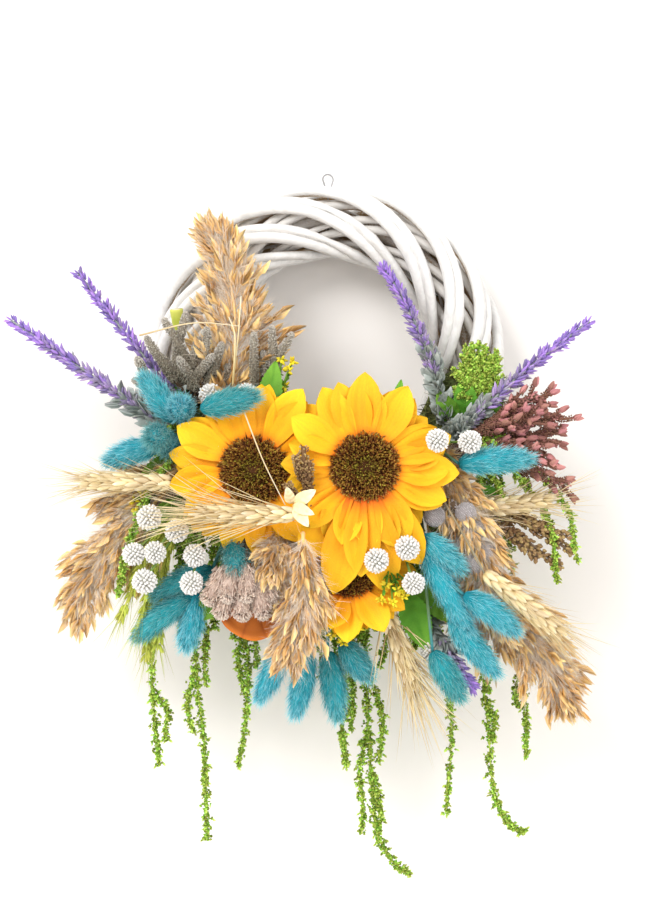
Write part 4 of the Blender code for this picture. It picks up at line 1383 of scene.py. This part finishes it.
def spray(name, base, binding, tips, finishes, seed, scale, heads, forks):
    """A woody spray with scaled side shoots."""
    dice = np.random.default_rng(seed)
    parts = []
    for tip in tips:
        tip = np.array(tip, float)
        start = np.array((0, 0, binding * 0.5))
        path = smooth_path(off(base, [start, start + (tip - start) * 0.45 + (0, 2, 2), tip]), 30)
        parts.append((*sweep(path, np.linspace(0.0016, 0.0010, 30), 6, chance=0.5), 1))
        parts.append(knobbly(path[6:], 0.0016, 300, scale, 1.3, dice, 0, shade=0.85))
        for number in range(forks):
            at = 18 + int(11 * number / forks)
            shoot_end = path[at] + near(path[-1] - path[at - 6], 0.36, dice) * dice.uniform(0.010, 0.017)
            shoot_end[1] = np.clip(shoot_end[1], path[-1][1] - 0.006, path[-1][1] + 0.009)
            shoot = smooth_path(
                [path[at], (path[at] + shoot_end) / 2 + dice.normal(size=3) * 0.001, shoot_end], 9
            )
            parts.append((*sweep(shoot, 0.0010, 5, chance=0.5), 0))
            parts.append(
                (
                    *scatter(
                        SCALE, *on_path(shoot, 0.0012, 60, dice)[:2], np.full(60, scale), dice, along=0.5,
                        shade=0.9
                    ),
                    0
                )
            )
            knob = near(np.tile(shoot[-1] - shoot[-3], (3, 1)), 0.3, dice)
            parts.append(
                (
                    *scatter(
                        BUD, shoot[-1] - knob * heads * 0.4, knob, (heads, heads, heads * 1.9), dice,
                        along=dice.uniform(0.85, 1, 3)
                    ),
                    0
                )
            )
    lay(name + "_spray", parts, finishes, stands_for=[name])


spray(
    "brunia_red", foot(319, 1.03), 26,
    [
        (64, 40, 32), (80, 26, 32), (76, 8, 33), (86, -20, 33), (70, 34, 30), (60, 22, 34), (78, 16, 30),
        (54, 30, 34), (40, 22, 36), (48, 8, 34), (74, -6, 32), (66, 2, 34)
    ],
    [red_scale, woody], 94, 0.0014, 0.0042, 6
)
catkin_scale = plant(
    "catkin_scale", (0.12, 0.07, 0.03), (0.30, 0.18, 0.08), (0.48, 0.32, 0.15), variation=0.6, scale=600,
    rough=0.85
)
spray(
    "catkins", foot(311, 1.08), 20,
    [(96, -52, 24), (88, -62, 24), (78, -38, 26), (92, -42, 27), (72, -56, 27)], [catkin_scale, woody],
    95, 0.0024, 0.0014, 0
)


# ---------------------------------------------------------------- dried seed heads and orange
# Seven dried bristly heads on woody stems, and under them a slice of dried orange wired
# through its middle.

cup_straw = plant(
    "seed_head_straw", (0.34, 0.21, 0.15), (0.80, 0.62, 0.52), (0.92, 0.82, 0.72), low=0.3, high=0.5,
    variation=0.4, scale=500, rough=0.85
)
dice = np.random.default_rng(101)
base = foot(244, 1.06)
parts = bound_stems(base, 36, [], 0)
for tip in [
    (-33, -68, 60), (-21, -66, 64), (-8, -66, 65), (-25, -77, 60), (-11, -78, 62), (3, -77, 63),
    (9, -67, 60)
]:
    tip = np.array(tip, float)
    root = np.array((tip[0] * 0.35 - 6, tip[1] * 0.55, 52))
    path = smooth_path(off(base, [(0, 0, 20), (-3, -14, 40), root, tip]), 30)
    parts.append((*sweep(path[:24], 0.0011, 6, chance=0.5), 1))
    axis = unit_rows(path[-1] - path[22])
    neck, mouth = path[22], path[-1]
    shell = smooth_path([neck, (neck + mouth) / 2, mouth - axis * 0.001], 12)
    parts.append(
        (
            *sweep(
                shell, 0.0062 * np.interp(np.linspace(0, 1, 12), (0, 0.3, 0.7, 1), (0.35, 0.75, 0.92, 0.7)),
                12, chance=0.4, along=(0.1, 0.6), shade=0.7
            ),
            0
        )
    )
    places, out, forward, share = on_path(shell, 0.0052, 420, dice, span=(0.1, 0.95))
    size = dice.uniform(0.0028, 0.0050, len(places))
    parts.append(
        (
            *scatter(
                blade((0.8, 1, 0.7, 0.25), 0.3), places, near(out * 0.36 + axis, 0.12, dice),
                strips(size * 0.09, size), dice, shade=dice.uniform(0.6, 1, len(places))
            ),
            0
        )
    )
    crown = near(np.tile(axis, (190, 1)), 0.5, dice)
    parts.append(
        (
            *scatter(
                SCALE, mouth + crown * 0.0040 - axis * 0.003, crown,
                rods(0.0012, dice.uniform(0.002, 0.004, 190)), dice, shade=dice.uniform(0.5, 1, 190)
            ),
            0
        )
    )
lay("dried_seed_heads_tufts", parts, [cup_straw, woody], stands_for=["dried_seed_heads"])

orange = plant(
    "dried_orange_slice", (0.62, 0.30, 0.06), (0.58, 0.16, 0.02), (0.78, 0.22, 0.02), low=0.5, high=0.86,
    variation=0.2, mottle=0.7, scale=260, rough=0.5, bump=0.6
)
slice_centre = off(foot(249, 1.12), (-10, -60, 50))[0]
rings, spokes = 16, 120
share = np.linspace(0, 1, rings)[:, None]
turn = np.linspace(0, 2 * np.pi, spokes, endpoint=False)[None]
parts = []
for front in (1, -1):
    reach = 0.0257 * share * (1 + 0.018 * np.sin(3 * turn) + 0.010 * np.sin(7 * turn))
    pulp = np.abs(np.sin(5 * turn)) ** 0.35
    thick = 0.0007 + 0.0011 * pulp * np.sin(
        np.pi * np.clip(share / 0.86, 0, 1)
    ) + 0.0012 * (share > 0.86) * (1 - share) / 0.14
    wave = 0.0016 * np.sin(2 * turn + 0.6) * share ** 2
    grid = np.stack(
        [
            slice_centre[0] + reach * np.cos(turn), slice_centre[1] - front * thick + wave + 0 * reach,
            slice_centre[2] + reach * np.sin(turn)
        ],
        -1
    )
    quads = grid_quads(rings, spokes, closed=True)
    tint = np.empty((rings, spokes, 3))
    tint[..., 0] = share
    tint[..., 1] = 0.5 - 0.5 * (1 - pulp)
    tint[..., 2] = 0.75 + 0.25 * pulp
    parts.append((grid.reshape(-1, 3), [quads if front > 0 else quads[:, ::-1]], tint.reshape(-1, 3), 0))
parts.append(
    (
        *sweep(
            smooth_path(
                off(foot(249, 1.12), [(0, 0, 0), (-4, -24, 24), (-8, -44, 42), (-10, -56, 47)]), 14
            ),
            0.0010, 6, chance=0.2
        ),
        1
    )
)
lay("orange_slice_rind", parts, [orange, woody], stands_for=["orange_slice"])


# ---------------------------------------------------------------- green tuft and amaranth
# Preserved hanging amaranth: thin drooping strands crusted with tiny green seed beads,
# each tassel glued in by its foot so that it sways. A tuft of the same stands upper right.

bead_green = plant(
    "amaranth_bead", (0.23, 0.40, 0.04), (0.48, 0.67, 0.09), (0.70, 0.82, 0.20), low=0.4, high=0.4,
    variation=0.9, mottle=0.4, scale=500, rough=0.8
)
BEAD = turned([(0, -0.5), (0.5, 0), (0, 0.5)], 4)
FLECK = blade((0.5, 1.0, 0.3), 0.4, 0.4)


def beaded(path, thick, dice):
    """One crusted strand: a thin stalk, clusters of beads and small bracts."""
    length = np.linalg.norm(np.diff(path, axis=0), axis=1).sum()
    share = np.linspace(0, 1, len(path))
    lumps = 0.7 + 0.3 * np.sin(share * length * 700 + dice.uniform(0, 6)) + 0.3 * np.sin(
        share * length * 1700 + dice.uniform(0, 6)
    )
    radii = thick * np.clip(lumps, 0.3, 1.15) * (1 - 0.3 * share)
    parts = [(*sweep(path, 0.0006, 5, chance=0.4), 0)]
    count = int(length / 0.00019)
    places, out, forward = on_path(path, radii, count, dice)[:3]
    places = places - out * (thick * dice.uniform(0, 0.7, (count, 1)))
    size = dice.uniform(0.0016, 0.0029, count)
    parts.append(
        (
            *scatter(
                BEAD, places, near(out + forward, 0.4, dice), size, dice, shade=dice.uniform(0.55, 1, count)
            ),
            0
        )
    )
    few = count // 4
    size = dice.uniform(0.0018, 0.0032, few)
    parts.append(
        (
            *scatter(
                FLECK, places[:few], near(out[:few] + forward[:few] * 0.8, 0.3, dice),
                strips(size * 0.3, size), dice
            ),
            0
        )
    )
    return parts


def amaranth(name, base, lift, drop, branches, seed):
    """A tassel along its drop. Branches are (where it leaves, sideways and length in mm)."""
    dice = np.random.default_rng(seed)
    steps = [(0, 0, 0), (0, 0, lift * 0.7), (drop[0][0] * 0.2, drop[0][1] * 0.2, lift)]
    steps += [(across, up, lift) for across, up in drop]
    main = smooth_path(off(base, steps), 110)
    parts = [(*sweep(main[:24], 0.0012, 6, chance=0.3), 0)]
    parts += beaded(main[14:], 0.0052, dice)
    for share, sideways, long in [(0.25, 8, 58), (0.28, -9, 56), (0.33, -4, 44)] + branches:
        start = main[int(share * 109)]
        ahead = unit_rows(main[min(109, int(share * 109) + 6)] - start)
        t = np.linspace(0, 1, 26)[:, None]
        fall = (ahead * 0.55 + np.array((0, 0, -0.45))) * long * 0.001 * t
        swing = np.array((1, 0, 0)) * sideways * 0.001 * np.sin(
            np.pi / 2 * np.clip(t * 1.7, 0, 1)
        ) * (1 - 0.35 * t)
        ripple = np.array((1, 0, 0)) * 0.0012 * np.sin(t * 9 + seed) * t
        parts += beaded(
            start + fall + swing + ripple + np.array((0, -1, 0)) * dice.uniform(-0.002, 0.002) * t, 0.0046,
            dice
        )
    lay(name + "_tassel", parts, [bead_green], body=name + "_strand", stands_for=[name])


NEAR, FAR = 5.6, 15.6
amaranth(
    "amaranth_left_1", foot(212, 1.20), NEAR,
    [(-4, -30), (-12, -64), (-18, -104), (-21, -150), (-19, -186), (-16, -216)],
    [(0.30, 9, 66), (0.45, 12, 60), (0.62, -6, 40), (0.80, 12, 34)], 111
)
amaranth(
    "amaranth_left_2", foot(226, 1.20), FAR,
    [(-3, -32), (-9, -80), (-8, -130), (-3, -176), (-2, -212), (-1, -242)],
    [(0.25, -12, 80), (0.32, 13, 84), (0.42, -13, 66), (0.5, 10, 60), (0.62, -8, 44)], 112
)
amaranth("amaranth_left_3", foot(241, 1.20), NEAR, [(-2, -30), (-1, -70), (2, -110), (0, -146), (-4, -176)],
         [(0.34, 8, 60), (0.40, -9, 66), (0.55, 10, 48), (0.6, -6, 50)], 113)
amaranth("amaranth_centre_1", foot(273, 1.225), FAR, [(-1, -34), (-2, -76), (2, -112), (4, -140), (6, -158)],
         [(0.30, -14, 70), (0.38, 8, 54), (0.48, -12, 50), (0.6, 8, 44)], 114)
amaranth(
    "amaranth_centre_2", foot(284, 1.225), NEAR,
    [(-1, -36), (-3, -84), (-2, -130), (1, -172), (4, -206), (16, -228), (28, -236)],
    [(0.26, -16, 80), (0.30, 15, 72), (0.40, -13, 76), (0.48, 13, 62), (0.58, -9, 70), (0.66, 6, 46)], 115
)
amaranth(
    "amaranth_right_1", foot(297, 1.225), NEAR, [(6, -32), (16, -70), (26, -112), (30, -150), (26, -204)],
    [(0.35, -12, 66), (0.45, -14, 56), (0.5, 8, 60), (0.64, 5, 50)], 116
)
amaranth(
    "amaranth_right_2", foot(313, 1.225), FAR,
    [(6, -32), (15, -76), (22, -120), (27, -164), (31, -208), (42, -228), (52, -234)],
    [(0.4, -9, 50), (0.5, 9, 44), (0.62, 6, 30)], 117
)
amaranth(
    "amaranth_right_3", foot(334, 1.225), NEAR, [(7, -34), (16, -80), (23, -130), (27, -180), (28, -220)],
    [(0.3, -9, 50), (0.42, 8, 50), (0.55, -12, 60), (0.66, -8, 44), (0.8, -7, 26)], 118
)

tuft_low, tuft_high = map(np.array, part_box("green_tuft"))
tuft_middle = (tuft_low + tuft_high) / 2
tuft_half = (tuft_high - tuft_low) / 2
dice = np.random.default_rng(119)
parts = []
for number in range(46):
    turn = dice.uniform(-0.2, math.pi + 0.5)
    reach = np.array(
        (math.cos(turn), dice.uniform(-0.9, 0.2), math.sin(turn))
    ) * tuft_half * dice.uniform(0.7, 1.0)
    root = tuft_middle + (dice.uniform(-0.005, 0.005), 0.004, -0.020)
    end = tuft_middle + reach
    bend = (root + end) / 2 + np.array((0, -0.002, 0.004))
    parts += beaded(smooth_path([root, bend, end], 18), 0.0026, dice)
lay("green_tuft_sprigs", parts, [bead_green], stands_for=["green_tuft"])


# ---------------------------------------------------------------- leaves and fillers
# Fabric leaves, little yellow bud sprigs, straw stalks and a small lavender tip fill the
# gaps between the flowers. All are glued to the pad or tucked between stems.

leaf_green = plant(
    "fabric_leaf", (0.05, 0.15, 0.015), (0.10, 0.27, 0.02), (0.20, 0.42, 0.04), low=0.3, high=0.5,
    variation=0.6, mottle=0.5, scale=200, rough=0.55, bump=0.5
)
bud_yellow = plant(
    "yellow_bud", (0.40, 0.42, 0.04), (0.80, 0.66, 0.03), (0.92, 0.72, 0.04), variation=0.4, scale=500,
    rough=0.7
)
lime_grass = plant(
    "lime_grass", (0.28, 0.34, 0.05), (0.50, 0.56, 0.08), (0.66, 0.68, 0.14), variation=0.5, scale=400,
    rough=0.7
)
MIDDLE = RING_CENTRE * (1, 0, 1) + np.array((0, PAD_FACE, 0))


def leaf(root, tip, width, teeth, arch, dice, pick=0, shade=1.0):
    """A toothed leaf with a pressed midrib and side veins, between two places in mm."""
    root, tip = off(MIDDLE, [root, tip])
    rows, columns = 41, 9
    v = np.linspace(0, 1, rows)[:, None]
    u = np.linspace(-1, 1, columns)[None]
    ahead = tip - root
    side = unit_rows(np.cross(ahead, (0, -1.0, 0)))
    lift = unit_rows(np.cross(side, ahead))
    shape = np.sin(np.pi * v ** 0.8) ** 0.75 * (1 + teeth * 0.16 * ((v * 13) % 1 - 0.5)) + 0.02
    out = side * (u * width * 0.001 * shape)[..., None]
    high = arch * 0.001 * np.sin(np.pi * v) + 0.28 * np.abs(u) * width * 0.001 * shape + 0.0004 * np.sin(
        26 * v - 5 * np.abs(u)
    )
    points = root + ahead * v[..., None] + out + lift * high[..., None]
    quads = grid_quads(rows, columns)
    tint = np.empty((rows, columns, 3))
    tint[..., 0] = np.clip(0.25 + 0.7 * v - 0.15 * np.exp(-(u / 0.15) ** 2), 0, 1)
    tint[..., 1] = dice.random()
    tint[..., 2] = shade
    return points.reshape(-1, 3), [quads], tint.reshape(-1, 3), pick


dice = np.random.default_rng(121)
parts = []
for root, tip, width, teeth, arch in [
    ((-42, -44, 40), (-35, -3, 34), 8, 1, 3), ((-50, -46, 34), (-44, -18, 30), 6, 1, 2),
    ((44, -40, 30), (49, -15, 26), 4, 1, 2), ((20, -158, 30), (16, -186, 36), 11, 1, 3),
    ((34, -156, 30), (30, -182, 34), 9, 1, 3), ((52, -158, 32), (66, -196, 36), 10, 1, 3),
    ((60, -150, 30), (84, -178, 34), 9, 1, 3), ((-70, -150, 36), (-84, -176, 38), 9, 1, 3),
    ((-98, -70, 22), (-128, -84, 26), 10, 1, 3), ((-92, -96, 24), (-124, -116, 30), 9, 1, 3),
    ((96, -90, 24), (124, -104, 26), 9, 1, 3), ((-30, -150, 24), (-40, -182, 30), 9, 1, 3),
    ((88, -60, 14), (112, -44, 12), 8, 1, 2), ((86, -44, 6), (74, -22, 12), 7, 1, 2),
    ((94, -42, 6), (92, -12, 10), 8, 1, 2), ((102, -40, 6), (118, -20, 10), 8, 1, 2),
    ((-96, -36, 6), (-112, -14, 12), 8, 1, 2), ((-8, -140, 30), (-4, -176, 34), 10, 1, 3),
    ((70, -120, 36), (100, -150, 38), 9, 1, 3)
]:
    parts.append(leaf(root, tip, width, teeth, arch, dice))
    parts.append(
        (
            *sweep(
                off(MIDDLE, [np.array(root) - (0, 0, 8), np.array(root) + (0, 0, 0.5)]), 0.0009, 5,
                chance=0.3
            ),
            0
        )
    )
lay("fabric_leaves", parts, [leaf_green])

parts = []
for root, tips in [
    (
        (40, -140, 52),
        [(38, -150, 60), (45, -154, 60), (42, -162, 60), (49, -158, 60), (52, -150, 58), (35, -160, 58)]
    ),
    ((4, -160, 40), [(-6, -178, 46), (2, -184, 47), (14, -176, 48), (20, -180, 46), (10, -190, 44)]),
    ((-36, -40, 30), [(-27, -10, 34), (-29, -20, 34), (-24, -4, 32), (-31, -2, 32)]),
    ((-110, -88, 20), [(-130, -96, 30), (-128, -104, 30), (-124, -92, 30)]),
    ((92, -60, 20), [(103, -52, 26), (108, -58, 26), (112, -48, 24)])
]:
    for tip in tips:
        path = smooth_path(off(MIDDLE, [root, (np.array(root) + tip) / 2 + (0, 1, 2), tip]), 12)
        parts.append((*sweep(path, 0.0006, 5, chance=0.4), 1))
        cluster = near(np.tile((0, -0.5, 0), (9, 1)) + dice.normal(size=(9, 3)), 0.2, dice)
        parts.append((*scatter(BUD, path[-1] + cluster * 0.0006, cluster, (0.0022, 0.0022, 0.0042), dice), 0))
        parts.append(
            (
                *scatter(
                    FLECK, path[5:9], near(path[5:9] - path[0], 0.8, dice), (0.0012, 0.003, 0.004), dice
                ),
                1
            )
        )
lay("yellow_bud_sprigs", parts, [bud_yellow, leaf_green])

parts = []
for root, tip in [
    ((-112, -130, 33), (-128, -186, 36)), ((-108, -132, 32), (-114, -196, 34)),
    ((-118, -126, 34), (-140, -178, 35)), ((-114, -128, 31), (-122, -204, 33))
]:
    path = smooth_path(off(MIDDLE, [(-76, -74, 2), (-92, -96, 28), root, tip]), 30)
    parts.append((*sweep(path, 0.0007, 5, chance=0.5), 0))
    places, out, forward, share = on_path(path, 0.0008, 110, dice, span=(0.45, 0.98))
    parts.append(
        (*scatter(GRAIN, places, near(out * 0.4 + forward, 0.1, dice), (0.0022, 0.0022, 0.007), dice), 0)
    )
    parts.append(
        (
            *scatter(
                AWN, places, near(out * 0.22 + forward, 0.10, dice),
                rods(0.00022, dice.uniform(0.016, 0.034, 110)), dice
            ),
            0
        )
    )
lay("lime_grass_ears", parts, [lime_grass])

lavender(
    "lavender_low",
    smooth_path(off(MIDDLE, [(62, -166, 20), (76, -190, 36), (86, -206, 42), (97, -221, 42)]), 34), 0.3,
    1.0, 45, 0.12, ()
)

for number, (angle, reach, steps, spread_of) in enumerate([
    (222, 1.02, [(0, 0, 8), (-18, -6, 14), (-46, -14, 16), (-66, -26, 16)], (2, 12, 20, 17, 4)),
    (257, 1.05, [(0, 0, 20), (-6, -14, 40), (-10, -26, 52), (-12, -38, 54)], (3, 7, 9, 7, 3)),
    (318, 1.05, [(0, 0, 20), (14, -30, 40), (26, -72, 44), (36, -100, 44)], (2, 10, 20, 18, 6)),
]):
    plume(f"reed_filler_{number + 1}", steps, foot(angle, reach), spread_of, 0.22, 80, 131 + number, 0.1, ())

parts = []
for angle in np.linspace(206, 338, 17):
    for number in range(2):
        root = foot(angle + dice.uniform(-4, 4), 1.16)
        out = np.array(
            (math.cos(math.radians(angle)) * 0.9, 0, math.sin(math.radians(angle)))
        ) * dice.uniform(0.020, 0.040)
        rise = np.array((0, -dice.uniform(0.024, 0.034), 0))
        end = root + out + rise + np.array((dice.uniform(-0.006, 0.006), 0, -0.010))
        parts += beaded(
            smooth_path([root, root + rise * 0.9 + out * 0.2, root + rise + out * 0.7, end], 22), 0.0034,
            dice
        )
for steps in [
    [(112, -56, 2), (128, -66, 24), (158, -98, 28), (167, -138, 28)],
    [(108, -62, 2), (122, -74, 24), (148, -110, 28), (153, -152, 28)],
    [(-108, -60, 2), (-122, -96, 36), (-134, -130, 38), (-140, -160, 38)]
]:
    parts += beaded(smooth_path(off(MIDDLE, steps), 50), 0.0046, dice)
lay("amaranth_filler_sprigs", parts, [bead_green])

stub = smooth_path(off(MIDDLE, [(-101, 14, 8), (-102, 24, 10), (-103, 33, 12)]), 14)
stub_cut = stub[-1] + (stub[-1] - stub[-2]) * 0.05
lay(
    "lime_cut_stalk",
    [
        (*sweep(stub, np.linspace(0.0034, 0.0045, 14), 16, chance=0.5), 0),
        (*sweep([stub[-1], stub_cut], 0.0030, 16, chance=0.1), 1)
    ],
    [lime_grass, straw]
)

parts = []
for across, up, lean, long in [
    (-15, -84, -3, 24), (-18, -82, -7, 16), (-13, -86, 2, 17), (-22, -96, -12, 12)
]:
    path = smooth_path(
        off(
            MIDDLE,
            [(across - lean, up - 6, 58), (across, up + 4, 66), (across + lean * 0.4, up + long, 68)]
        ),
        20
    )
    parts.append((*sweep(path, 0.0017, 7, chance=0.2, along=(0, 0.3)), 0))
    parts.append(knobbly(path, 0.0020, 190, 0.0014, 0.6, dice, 0))
lay("brown_spike_cluster", parts, [catkin_scale])

parts = []
for root, tip, width in [
    ((-22, -97, 74), (-8, -88, 80), 4.2), ((-22, -98, 74), (-13, -112, 79), 4.4),
    ((-24, -97, 73), (-27, -86, 78), 3.4), ((-23, -98, 74), (-9, -104, 80), 3.4)
]:
    parts.append(leaf(root, tip, width, 0, 1.4, dice))
lay("wheat_husk_bow", parts, [straw])

parts = []
for steps in [
    [(-126, 14, 34), (-90, 22, 38), (-58, 20, 36)],
    [(-62, -20, 40), (-54, -40, 64), (-42, -70, 72), (-28, -98, 74)],
    [(-64, -20, 30), (-60, 14, 36), (-58, 40, 38)], [(-64, -20, 30), (-62, 12, 38), (-66, 26, 40)],
    [(40, -70, 30), (90, -84, 26), (122, -92, 20)], [(-40, -128, 40), (-70, -118, 44), (-96, -96, 40)]
]:
    path = smooth_path(off(MIDDLE, steps), 30)
    parts.append((*sweep(path, np.linspace(0.0006, 0.0003, 30), 5, chance=dice.random()), 0))
lay("straw_stalks", parts, [straw])
